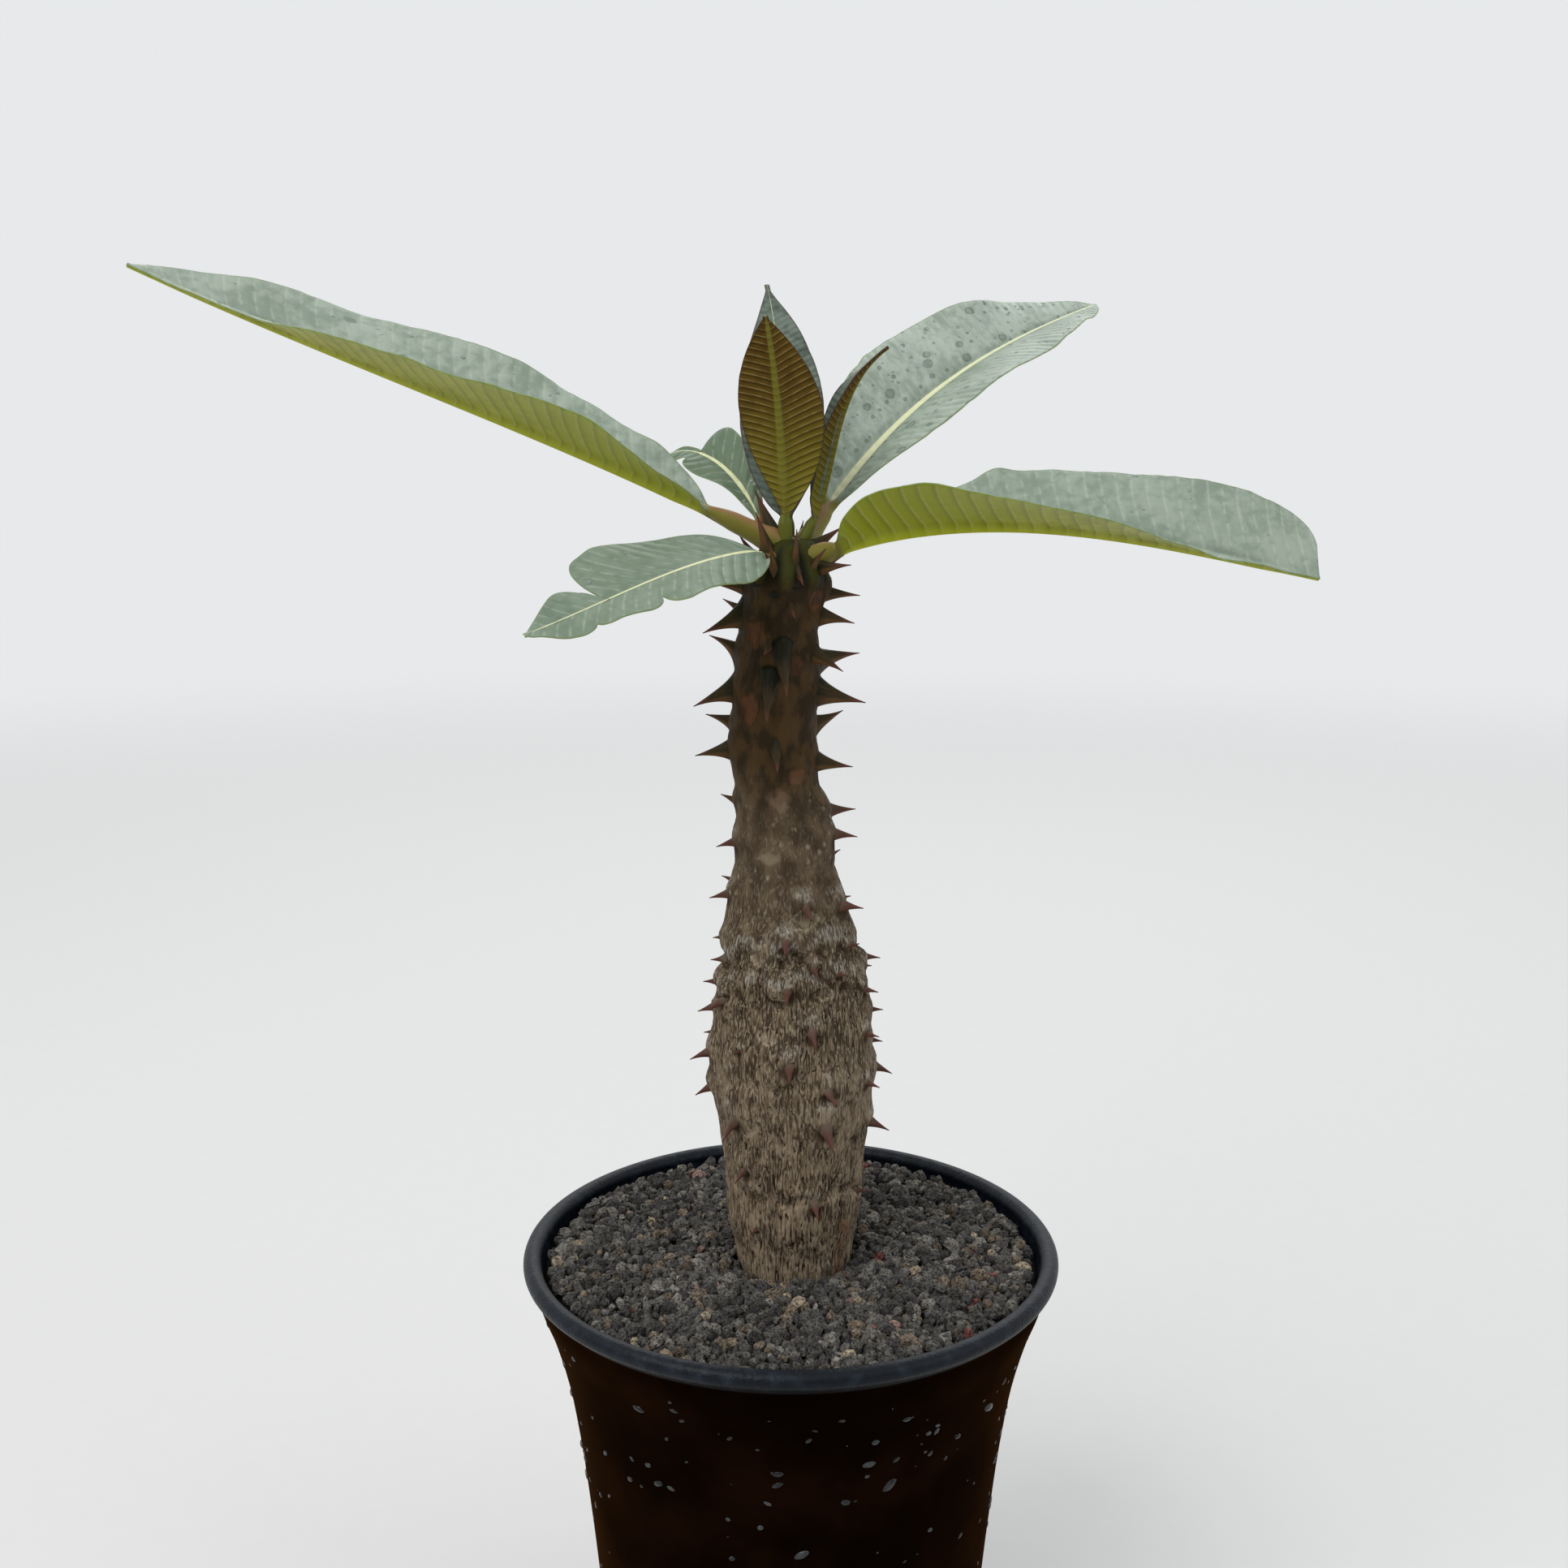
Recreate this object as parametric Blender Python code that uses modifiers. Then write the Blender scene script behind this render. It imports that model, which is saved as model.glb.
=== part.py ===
"""A potted pachypodium: a spiny trunk with a tuft of leaves, standing in gravel in a flared pot.

Blender 4.5, metres, +Z up. The origin is the centre of the pot's base, and -Y is the side
towards the viewer. Bearings are degrees anticlockwise from +X, seen from above.
"""

import math
import random
from dataclasses import dataclass

import bmesh
import bpy
import numpy as np
from mathutils import Vector
from mathutils.geometry import delaunay_2d_cdt

MM = 0.001
GAP = 0.35 * MM  # left between pieces that touch
SEED = 7

# Colours, as linear red, green and blue
POT_COLOUR = (0.015, 0.013, 0.014)
GRAVEL_COLOUR = (0.045, 0.042, 0.040)
BARK_COLOUR = (0.20, 0.16, 0.12)
LEAF_COLOUR = (0.20, 0.28, 0.20)
YOUNG_COLOUR = (0.12, 0.09, 0.03)

# Pot
POT_HEIGHT = 125.0 * MM
RIM_TUBE = 2.0 * MM
RIM_RADIUS = 58.0 * MM  # to the middle of the rolled rim
RIM_LEVEL = POT_HEIGHT - RIM_TUBE
WALL = 2.0 * MM
BASE_THICKNESS = 3.0 * MM
FOOT_ROUND = 1.5 * MM
POT_SIDES = 44
# Outer radius of the wall, by depth below the middle of the rim
POT_OUTLINE = (
    (0.0 * MM, 57.6 * MM),
    (6.0 * MM, 57.0 * MM),
    (14.0 * MM, 54.2 * MM),
    (26.0 * MM, 50.9 * MM),
    (40.0 * MM, 48.5 * MM),
    (60.0 * MM, 46.1 * MM),
    (82.0 * MM, 44.0 * MM),
    (123.0 * MM, 40.9 * MM),
)
# Depths below the middle of the rim at which both faces of the wall have a ring of points
WALL_DEPTHS = tuple(depth * MM for depth in (2.8, 6, 12, 20, 32, 50, 72, 98))
RIM_ARC = (200.0, -60.0, 8)  # degrees from the inside over the top to the outside, and points
DRAIN_HOLES = 6
DRAIN_RADIUS = 3.5 * MM
DRAIN_CIRCLE = 24.0 * MM

# Gravel
SOIL_LEVEL = RIM_LEVEL - 0.4 * MM
SOIL_EDGE_DROP = 1.0 * MM
SOIL_EDGE_LEVEL = SOIL_LEVEL - SOIL_EDGE_DROP
GRAIN_SPACING = 5.6 * MM
GRAIN_RELIEF = 1.5 * MM
GRAIN_TOPS = (0.25, 1.0)  # least and most height of a grain's peak, in reliefs
GRAIN_CLEFTS = (-0.35, 0.0)  # and of the clefts between grains
GRAIN_FILL = 3.6  # grains over the square of the gravel's radius in spacings
GRAIN_SHIFT = 0.13  # of the spacing, how far a grain is moved at random
WALL_CLEARANCE = 0.6  # of the spacing, from the pot's wall to the outermost grains
TRUNK_CLEARANCE = 0.7
GOLDEN_ANGLE = math.radians(137.508)

# Trunk: height above the gravel, radius, and sideways lean of its axis
TRUNK_STOPS = (
    (-46.0 * MM, 6.5 * MM, 0.9 * MM),
    (-30.0 * MM, 10.0 * MM, 0.9 * MM),
    (-8.0 * MM, 12.3 * MM, 0.9 * MM),
    (0.0 * MM, 12.9 * MM, 0.9 * MM),
    (10.0 * MM, 14.6 * MM, 0.9 * MM),
    (20.0 * MM, 15.2 * MM, 0.8 * MM),
    (35.0 * MM, 16.9 * MM, 0.5 * MM),
    (46.0 * MM, 17.8 * MM, 0.3 * MM),
    (58.0 * MM, 16.8 * MM, 0.2 * MM),
    (70.0 * MM, 14.8 * MM, -0.4 * MM),
    (84.0 * MM, 11.8 * MM, -1.0 * MM),
    (101.0 * MM, 9.6 * MM, -2.0 * MM),
    (110.0 * MM, 8.5 * MM, -3.6 * MM),
    (128.0 * MM, 7.8 * MM, -3.4 * MM),
    (145.0 * MM, 7.4 * MM, -2.2 * MM),
    (152.0 * MM, 7.8 * MM, -1.0 * MM),
    (157.0 * MM, 7.0 * MM, -0.2 * MM),
    (161.0 * MM, 4.6 * MM, 0.2 * MM),
    (163.0 * MM, 1.6 * MM, 0.4 * MM),
)
TRUNK_SIDES = 22
RINGS_ABOVE = 40
RINGS_BELOW = 5
TRUNK_LUMP = 0.02  # of its radius, how far it is out of round
# Swollen folds that ring the trunk: height above the gravel, swell, and half height
TRUNK_FOLDS = (
    (75.0 * MM, 0.5 * MM, 3.5 * MM),
    (65.0 * MM, 0.4 * MM, 3.5 * MM),
    (42.0 * MM, 0.4 * MM, 4.0 * MM),
)


@dataclass
class Leaf:
    """One leaf: where it leaves the trunk, how it bends, and the outline of its blade.

    Lengths are in millimetres and angles in degrees.
    """

    name: str
    bearing: float  # the way it leaves the trunk
    height: float  # of its foot above the gravel
    foot: float  # distance of its foot from the trunk's axis
    length: float  # along the midrib, stalk and blade
    stalk: float  # share of the length before the blade opens
    stalk_radius: float
    left: tuple  # half width of the blade, and how blunt it is at its base and its tip
    right: tuple
    pitch: tuple  # rise above the horizon at foot, middle and tip
    fold: tuple  # rise of each half above flat, at foot and tip
    roll: tuple  # turn about the midrib at foot, middle and tip
    sweep: float = 0.0  # turn of its bearing by the tip
    ripple: tuple = (0.8, 3.0)  # height of the edge's waves, and their number
    notches: tuple = ()  # (side, start, end, depth) of bites out of the edge
    stations: int = 21


LEAVES = (
    Leaf("leaf_left_long", 185, 159.5, 5, 137, 0.1, 2.1, (19, 1.0, 1.65), (15.5, 0.75, 0.75),
         pitch=(27, 21.8, 24.5), fold=(50, 17), roll=(-30, -18, -22), sweep=5),
    Leaf("leaf_right_low", -9, 157, 5, 107.5, 0.07, 2.2, (17.5, 0.5, 0.2), (17.5, 0.45, 1.35),
         pitch=(19, -5, -13.5), fold=(38, 17), roll=(-10, 18, 31), sweep=12, ripple=(0.6, 2.5)),
    Leaf("leaf_right_back", 56, 159, 5.8, 137.5, 0.07, 2.0, (17, 0.7, 0.9), (15.5, 0.7, 0.7),
         pitch=(41.5, 23.5, 15.5), fold=(32, 19), roll=(21, 24, 22), sweep=-9),
    Leaf("leaf_left_back", 139, 156.5, 5.5, 40, 0.14, 1.5, (6, 1.1, 0.8), (14.5, 1.0, 0.6),
         pitch=(73, 36, 5), fold=(13, 13), roll=(-28, -43, -45), sweep=-13,
         notches=((-1, 0.52, 1.16, 1.0),), stations=15),
    Leaf("leaf_left_front", 226, 152.5, 5.3, 64, 0.13, 2.0, (12, 0.35, 0.85), (14, 1.2, 1.35),
         pitch=(34, -20, -7), fold=(1, 15), roll=(-30, -20, -36), sweep=-7,
         notches=((-1, 0.68, 0.86, 0.9), (1, 0.36, 0.5, 0.3), (1, 0.66, 0.78, 0.25)), stations=17),
    Leaf("leaf_young_front", 230, 160, 2.2, 45, 0.08, 1.6, (9.5, 1.0, 1.1), (8, 1.3, 0.95),
         pitch=(86, 83, 73), fold=(10, 8), roll=(42, 40, 48), ripple=(0.3, 3.0), stations=15),
    Leaf("leaf_young_back", 99, 158.5, 4.4, 59, 0.08, 1.5, (9.5, 0.75, 1.2), (8.5, 1.0, 1.25),
         pitch=(91, 71, 54), fold=(9, 8), roll=(-9, -10, -9), sweep=8, ripple=(0.3, 3.0),
         stations=15),
    Leaf("leaf_young_right", 22, 160, 2.9, 44, 0.08, 1.3, (3.7, 0.8, 1.2), (3.3, 0.6, 1.4),
         pitch=(59, 75, 33), fold=(70, 66), roll=(-1, -5, -9), sweep=-14, ripple=(0.2, 3.0),
         stations=15),
)
BLADE_THICKNESS = 0.8 * MM
RIB_AT_TIP = 0.35  # of the stalk's radius
RIB_DEPTH = 0.6  # below the blade, of the rib's radius
RIB_SHARE = 0.35  # most of the blade's half width that the rib takes
RIB_CLEAR = 0.25  # of the rib's half width, that a steep half's upper face keeps from its middle
TIP_HALF_WIDTH = 0.5 * MM
FOLD_WIDTH = 2.5 * MM  # a blade narrower than this is folded less
FOLD_SPREAD = 0.2  # how much steeper the blade is at the rib than at the edge
RIPPLE_WIDTH = 0.4  # of the widest half, below which the edge waves less
RIPPLE_TURN = 1.3  # radians between the waves of the two edges
BLADE_OPENS = (0.75, 0.8)  # where it starts to open and over how far, in stalk lengths
COLUMN_SHARES = (1.0, 0.55, 0.0)  # of the half width, from edge to rib
SLEEVE_LENGTH = 9.0 * MM

# Spines: height above the gravel and bearing of the root, length, and rise above the horizon
SPINES = (
    (148, 5, 8.5, 3), (147, 40, 8, 6), (143.5, -10, 8.6, -4), (136, -26, 8.5, -20),
    (133, 22, 12, 14), (127.5, -5, 11.6, -6), (119.5, 25, 9, 24), (112.5, -6, 9, -2),
    (101, 12, 7, 6), (96.5, -10, 6.2, 2), (90, 28, 3.2, 30), (82, -28, 6.2, 4),
    (80.5, 25, 3, 10), (73, -30, 3, 25), (68, 8, 4.4, 0), (68, -48, 2.8, 10),
    (65.5, 14, 2.2, 0), (63, -20, 3.6, 0), (55.5, 12, 3.6, 0), (54, -28, 4, 0),
    (49.5, 2, 2.6, -6), (43, 6, 5.2, -18), (43, -30, 3.6, -4), (32.5, -14, 5.5, -16),
    (16.5, -20, 2.2, 5), (149.5, 186, 8, 12), (143.5, 160, 6.5, 35), (143.5, 196, 10, -14),
    (135, 172, 8, 36), (127.5, 190, 10, -12), (120, 170, 7, 22), (115, 184, 8.5, -4),
    (103, 168, 4.2, 26), (95, 192, 5, -6), (85, 165, 3, 25), (83.5, 187, 5.2, -6),
    (73, 178, 2, 0), (68.5, 184, 2, 0), (63, 180, 3, 5), (61, 208, 4, -16),
    (57.5, 182, 4.2, -10), (51, 175, 2.6, 0), (48, 190, 5.4, -12), (39.5, 184, 4.8, -22),
    (36, 224, 6, -40), (24, 226, 4.2, -30), (146.5, -78, 6.5, -20), (138.5, -102, 6.5, -15),
    (134.5, -82, 10, -38), (128.5, -96, 9.5, -36), (116, -86, 7.5, -28), (83, -72, 5, -20),
    (76, -92, 5, -20), (70, -70, 3.8, -15), (66, -92, 5, -20), (57, -76, 5.5, -25),
    (50, -92, 5.5, -22), (44, -66, 5, -20), (36, -68, 8, -40), (17, -74, 4.2, -25),
    (10, -126, 2, 0), (52, -128, 2.4, 0),
    (158, 205, 8, 66), (160, 152, 10, 70), (154.5, -78, 8, 70), (154, -104, 6.5, -30),
    (159.5, 10, 6, 42), (151.5, -24, 7, 2),
)
NEAR_SIDE = -90.0  # the bearing of the viewer's side, whose spines the far side repeats
NEAR_SPREAD = 55.0
FAR_SIDE_RISE = 3.0
NEAR_SIDE_TOP = 150.0
SPINE_SIDES = 5
SPINE_STATIONS = (0.0, 0.2, 0.42, 0.7, 1.0)
SHORT_SPINE = 5.0 * MM
SHORT_SPINE_STATIONS = (0.0, 0.3, 0.65, 1.0)
SPINE_SINK = 1.6 * MM
SPINE_TALL = 0.40  # half height of the root over the length
SPINE_WIDE = 0.28
SPINE_ROOT = 0.5 * MM  # added to both
SPINE_TIP = 0.12 * MM
SPINE_FLARE = 1.7  # how hollow the flanks are
SPINE_HOOK = -0.1  # rise of the tip over the length, by bending


def smooth(stops, x):
    """Values at x on a smooth curve through stops, rows of a place and one or more values."""
    table = np.array(stops, float)
    place, value = table[:, 0], table[:, 1:]
    slope = np.gradient(value, place, axis=0)
    x = np.clip(np.atleast_1d(np.asarray(x, float)), place[0], place[-1])
    i = np.clip(np.searchsorted(place, x) - 1, 0, len(place) - 2)
    span = (place[i + 1] - place[i])[:, None]
    t = ((x - place[i]) / span[:, 0])[:, None]
    return (
        (1 + 2 * t) * (1 - t) ** 2 * value[i]
        + t * (1 - t) ** 2 * span * slope[i]
        + t * t * (3 - 2 * t) * value[i + 1]
        + t * t * (t - 1) * span * slope[i + 1]
    )


def bend(values, s):
    """A smooth change through three values, at the start, middle and end of s from 0 to 1."""
    first, middle, last = values
    curve = 2 * first - 4 * middle + 2 * last
    return first + (4 * middle - 3 * first - last) * s + curve * s * s


def ease(x):
    """0 below 0 and 1 above 1, with a smooth rise between."""
    x = np.clip(x, 0, 1)
    return x * x * (3 - 2 * x)


def circle(radius, level, sides):
    """Points evenly round the pot's axis at a level."""
    turn = np.arange(sides) * 2 * math.pi / sides
    return np.stack([radius * np.cos(turn), radius * np.sin(turn), np.full(sides, level)], 1)


def add_ring(shape, points):
    return [shape.verts.new([float(value) for value in point]) for point in points]


def bridge(shape, ring, points):
    """Adds a ring of points, joins it to the ring before it with four-sided faces, and gives it."""
    following = add_ring(shape, points)
    for i in range(len(ring)):
        j = (i + 1) % len(ring)
        shape.faces.new((ring[i], ring[j], following[j], following[i]))
    return following


def loft(name, rings, collection):
    """A closed solid through rings of points, each with as many points as the last."""
    shape = bmesh.new()
    ring = add_ring(shape, rings[0])
    shape.faces.new(ring[::-1])
    for points in rings[1:]:
        ring = bridge(shape, ring, points)
    shape.faces.new(ring)
    return finish(name, shape, collection)


def finish(name, shape, collection):
    """Turns a bmesh into an object of the collection, with its faces pointing out."""
    bmesh.ops.recalc_face_normals(shape, faces=shape.faces)
    mesh = bpy.data.meshes.new(name)
    shape.to_mesh(mesh)
    shape.free()
    thing = bpy.data.objects.new(name, mesh)
    collection.objects.link(thing)
    return thing


def paint(thing, colour, roughness):
    """Gives the object a material of its own, and smooth shading."""
    material = bpy.data.materials.new(thing.name)
    material.use_nodes = True
    shader = material.node_tree.nodes["Principled BSDF"]
    shader.inputs["Base Color"].default_value = (*colour, 1.0)
    shader.inputs["Roughness"].default_value = roughness
    shader.inputs["Metallic"].default_value = 0.0
    thing.data.materials.clear()
    thing.data.materials.append(material)
    thing.data.shade_smooth()
    thing.data.set_sharp_from_angle(angle=math.radians(40))


def combine(thing, operation, others):
    """Joins or cuts the object with every object of a collection, and removes those objects."""
    modifier = thing.modifiers.new(operation.lower(), "BOOLEAN")
    modifier.operation = operation
    modifier.operand_type = "COLLECTION"
    modifier.collection = others
    graph = bpy.context.evaluated_depsgraph_get()
    mesh = bpy.data.meshes.new_from_object(thing.evaluated_get(graph))
    thing.modifiers.clear()
    thing.data = mesh
    for used in list(others.objects):
        bpy.data.objects.remove(used)


def pot_outer(level):
    """The wall's outer radius at a level above the base."""
    return float(smooth(POT_OUTLINE, RIM_LEVEL - level)[0, 0])


def pot_inner(level):
    return pot_outer(level) - WALL


def pot_profile():
    """Half section of the pot: up the inside, over the rolled rim and down the outside."""
    levels = [RIM_LEVEL - depth for depth in WALL_DEPTHS]
    inside = [(0.0, BASE_THICKNESS), (pot_inner(BASE_THICKNESS), BASE_THICKNESS)]
    inside += [(pot_inner(level), level) for level in reversed(levels)]
    turns = np.radians(np.linspace(*RIM_ARC))
    rim = [
        (RIM_RADIUS + RIM_TUBE * math.cos(turn), RIM_LEVEL + RIM_TUBE * math.sin(turn))
        for turn in turns
    ]
    outside = [(pot_outer(level), level) for level in levels]
    foot = [(pot_outer(FOOT_ROUND), FOOT_ROUND), (pot_outer(0.0) - FOOT_ROUND, 0.0), (0.0, 0.0)]
    return inside + rim + outside + foot


def build_pot(parts, cutters):
    """The flared pot with its rolled rim, and a ring of drain holes clear of the base's centre."""
    profile = [(radius, 0.0, level) for radius, level in pot_profile()]
    mesh = bpy.data.meshes.new("pot")
    mesh.from_pydata(profile, [(i, i + 1) for i in range(len(profile) - 1)], [])
    pot = bpy.data.objects.new("pot", mesh)
    parts.objects.link(pot)
    turn = pot.modifiers.new("turn", "SCREW")
    turn.steps = turn.render_steps = POT_SIDES
    turn.use_merge_vertices = True
    turn.merge_threshold = 0.01 * MM
    for x, y, z in circle(DRAIN_CIRCLE, BASE_THICKNESS / 2, DRAIN_HOLES):
        bpy.ops.mesh.primitive_cylinder_add(
            vertices=12, radius=DRAIN_RADIUS, depth=3 * BASE_THICKNESS, location=(x, y, z)
        )
        hole = bpy.context.object
        for holder in hole.users_collection:
            holder.objects.unlink(hole)
        cutters.objects.link(hole)
    combine(pot, "DIFFERENCE", cutters)
    paint(pot, POT_COLOUR, 0.25)


def trunk_at(height):
    """The trunk's radius, and how far its axis lies to the right, at a height above the gravel."""
    radius, lean = smooth(TRUNK_STOPS, height)[0]
    return float(radius), float(lean)


def trunk_reach(height, turn):
    """The trunk's radius at a height in one or more directions, with its folds, out of round."""
    radius = trunk_at(height)[0]
    for fold, swell, half in TRUNK_FOLDS:
        radius += swell * math.exp(-(((height - fold) / half) ** 2))
    lumps = np.sin(2 * turn + height / (9 * MM)) + 0.7 * np.sin(3 * turn - height / (14 * MM))
    return radius * (1 + TRUNK_LUMP * lumps)


def trunk_ring(height, grow=0.0):
    """Points round the trunk at a height, moved outwards by grow."""
    turn = np.arange(TRUNK_SIDES) * 2 * math.pi / TRUNK_SIDES
    reach = trunk_reach(height, turn) + grow
    x = trunk_at(height)[1] + reach * np.cos(turn)
    return np.stack([x, reach * np.sin(turn), np.full(TRUNK_SIDES, SOIL_LEVEL + height)], 1)


def buried_heights():
    """Heights of the trunk's rings from its lower end up to the gravel."""
    return np.linspace(TRUNK_STOPS[0][0], 0.0, RINGS_BELOW)


def spine_rings(height, bearing, length, rise):
    """Sections of one spine: an oval root sunk in the trunk, hollow flanks and a sharp tip."""
    turn, rise = math.radians(bearing), math.radians(rise)
    height, length = height * MM, length * MM
    outward = np.array([math.cos(turn), math.sin(turn), 0.0])
    across = np.array([-math.sin(turn), math.cos(turn), 0.0])
    upward = np.array([0.0, 0.0, 1.0])
    along = outward * math.cos(rise) + upward * math.sin(rise)
    tall = upward * math.cos(rise) - outward * math.sin(rise)
    axis = np.array([trunk_at(height)[1], 0.0, SOIL_LEVEL + height])
    root = axis + outward * trunk_reach(height, turn)
    around = np.arange(SPINE_SIDES) * 2 * math.pi / SPINE_SIDES
    rings = []
    for t in SHORT_SPINE_STATIONS if length < SHORT_SPINE else SPINE_STATIONS:
        centre = root + along * (length * t - SPINE_SINK * (1 - t)) + tall * SPINE_HOOK * length * t**2
        taper = (1 - t) ** SPINE_FLARE
        half_wide = (SPINE_WIDE * length + SPINE_ROOT) * taper + SPINE_TIP
        half_tall = (SPINE_TALL * length + SPINE_ROOT) * taper + SPINE_TIP
        ring = centre + np.outer(np.cos(around) * half_wide, across)
        rings.append(ring + np.outer(np.sin(around) * half_tall, tall))
    return rings


def all_spines():
    """The spines of the near half, and those of the far half, which repeat the nearest of them."""
    spines = list(SPINES)
    for height, bearing, length, rise in SPINES:
        offset = (bearing - NEAR_SIDE + 180) % 360 - 180
        if abs(offset) < NEAR_SPREAD and height < NEAR_SIDE_TOP:
            spines.append((height + FAR_SIDE_RISE, bearing + 180, length, rise))
    return spines


def build_trunk(parts, cutters):
    """The trunk with its spines joined on, and a socket for each leaf's stalk."""
    top = TRUNK_STOPS[-1][0]
    heights = list(buried_heights()) + list(np.linspace(0.0, top, RINGS_ABOVE)[1:])
    trunk = loft("trunk", [trunk_ring(height) for height in heights], parts)
    for spine in all_spines():
        loft("spine", spine_rings(*spine), cutters)
    combine(trunk, "UNION", cutters)
    for leaf in LEAVES:
        loft("socket", sleeve_rings(leaf), cutters)
    combine(trunk, "DIFFERENCE", cutters)
    paint(trunk, BARK_COLOUR, 0.85)


def gravel_level(x, y):
    """Level of the gravel between its grains: flat, and lower towards the wall."""
    share = math.hypot(x, y) / RIM_RADIUS
    return SOIL_LEVEL - SOIL_EDGE_DROP * share**4


def grain_centres(rng):
    """Centres of the grains on a sunflower spiral, each moved a little at random."""
    radius, lean = trunk_at(0.0)
    outer = pot_inner(SOIL_EDGE_LEVEL) - WALL_CLEARANCE * GRAIN_SPACING
    inner = radius + TRUNK_CLEARANCE * GRAIN_SPACING
    count = int(GRAIN_FILL * (outer / GRAIN_SPACING) ** 2)
    shift = GRAIN_SHIFT * GRAIN_SPACING
    centres = []
    for i in range(count):
        reach = outer * math.sqrt((i + 0.5) / count)
        turn = GOLDEN_ANGLE * i
        x = reach * math.cos(turn) + rng.uniform(-shift, shift)
        y = reach * math.sin(turn) + rng.uniform(-shift, shift)
        if math.hypot(x - lean, y) > inner:
            centres.append((x, y))
    return centres


def gravel_top(edge, hole, rng):
    """Points and triangles of the gravel's top: grains as peaks, and the clefts between them."""
    rims = [tuple(point[:2]) for point in list(edge) + list(hole)]
    last = len(edge)
    loops = [(i, (i + 1) % last) for i in range(last)]
    loops += [(last + i, last + (i + 1) % len(hole)) for i in range(len(hole))]
    centres = grain_centres(rng)
    flat = [Vector(point) for point in rims + centres]
    faces = delaunay_2d_cdt(flat, loops, [], 1, 1e-9)[2]
    for face in faces:
        if max(face) >= len(rims):
            flat.append(sum((flat[i] for i in face), Vector((0.0, 0.0))) / 3)
    plan, _, faces = delaunay_2d_cdt(flat, loops, [], 1, 1e-9)[:3]
    points = [tuple(point) for point in list(edge) + list(hole)]
    for i in range(len(rims), len(plan)):
        x, y = plan[i]
        relief = rng.uniform(*(GRAIN_TOPS if i < len(rims) + len(centres) else GRAIN_CLEFTS))
        points.append((x, y, gravel_level(x, y) + GRAIN_RELIEF * relief))
    in_hole = range(last, len(rims))
    return points, [face for face in faces if not all(i in in_hole for i in face)]


def build_soil(parts):
    """Gravel that fills the pot, with its top in relief and a plain hole for the trunk."""
    edge = circle(pot_inner(SOIL_EDGE_LEVEL) - GAP, SOIL_EDGE_LEVEL, POT_SIDES)
    depths = buried_heights()[::-1]
    points, faces = gravel_top(edge, trunk_ring(0.0, GAP), random.Random(SEED))
    shape = bmesh.new()
    corners = add_ring(shape, points)
    for face in faces:
        shape.faces.new([corners[i] for i in face])
    outer = corners[:POT_SIDES]
    inner = corners[POT_SIDES:POT_SIDES + TRUNK_SIDES]
    floor = BASE_THICKNESS + GAP
    levels = [RIM_LEVEL - depth for depth in WALL_DEPTHS] + [floor]
    for level in levels:
        outer = bridge(shape, outer, circle(pot_inner(level) - GAP, level, POT_SIDES))
    shape.faces.new(outer)
    for height in depths[1:]:
        inner = bridge(shape, inner, trunk_ring(height, GAP))
    inner = bridge(shape, inner, trunk_ring(depths[-1], GAP) - np.array([0.0, 0.0, GAP]))
    shape.faces.new(inner)
    soil = finish("soil", shape, parts)
    paint(soil, GRAVEL_COLOUR, 0.95)


def leaf_frame(leaf, s):
    """Points of the midrib at shares s of its length, and the left and upward directions there."""
    pitch = np.radians(bend(leaf.pitch, s))
    bearing = np.radians(leaf.bearing + leaf.sweep * s)
    roll = np.radians(bend(leaf.roll, s))[:, None]
    level = np.stack([np.cos(bearing), np.sin(bearing), np.zeros_like(s)], 1)
    along = level * np.cos(pitch)[:, None] + np.outer(np.sin(pitch), (0.0, 0.0, 1.0))
    left = np.stack([-np.sin(bearing), np.cos(bearing), np.zeros_like(s)], 1)
    up = np.cross(along, left)
    step = np.diff(s)[:, None] * leaf.length * MM
    path = np.vstack([np.zeros(3), np.cumsum((along[1:] + along[:-1]) / 2 * step, 0)])
    height = leaf.height * MM
    foot = level[0] * leaf.foot * MM + (trunk_at(height)[1], 0.0, SOIL_LEVEL + height)
    return (
        foot + path,
        left * np.cos(roll) + up * np.sin(roll),
        up * np.cos(roll) - left * np.sin(roll),
    )


def stalk_radius(leaf, s):
    """Radius of the stalk, and beyond it of the rib, at shares s of the length."""
    return leaf.stalk_radius * MM * (1 - (1 - RIB_AT_TIP) * s)


def blade_width(leaf, s, side):
    """Half width of the blade at shares s, on its left (side 1) or its right (side -1)."""
    t = np.clip((s - leaf.stalk) / (1 - leaf.stalk), 0, 1)
    most, base, tip = leaf.left if side > 0 else leaf.right
    peak = base / (base + tip)
    width = most * MM * (t / peak) ** base * ((1 - t) / (1 - peak)) ** tip
    for notch_side, start, end, depth in leaf.notches:
        if notch_side == side:
            inside = np.clip((t - start) / (end - start), 0, 1)
            width = width * (1 - depth * np.sin(math.pi * inside) ** 2)
    return np.maximum(width, TIP_HALF_WIDTH)


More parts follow.
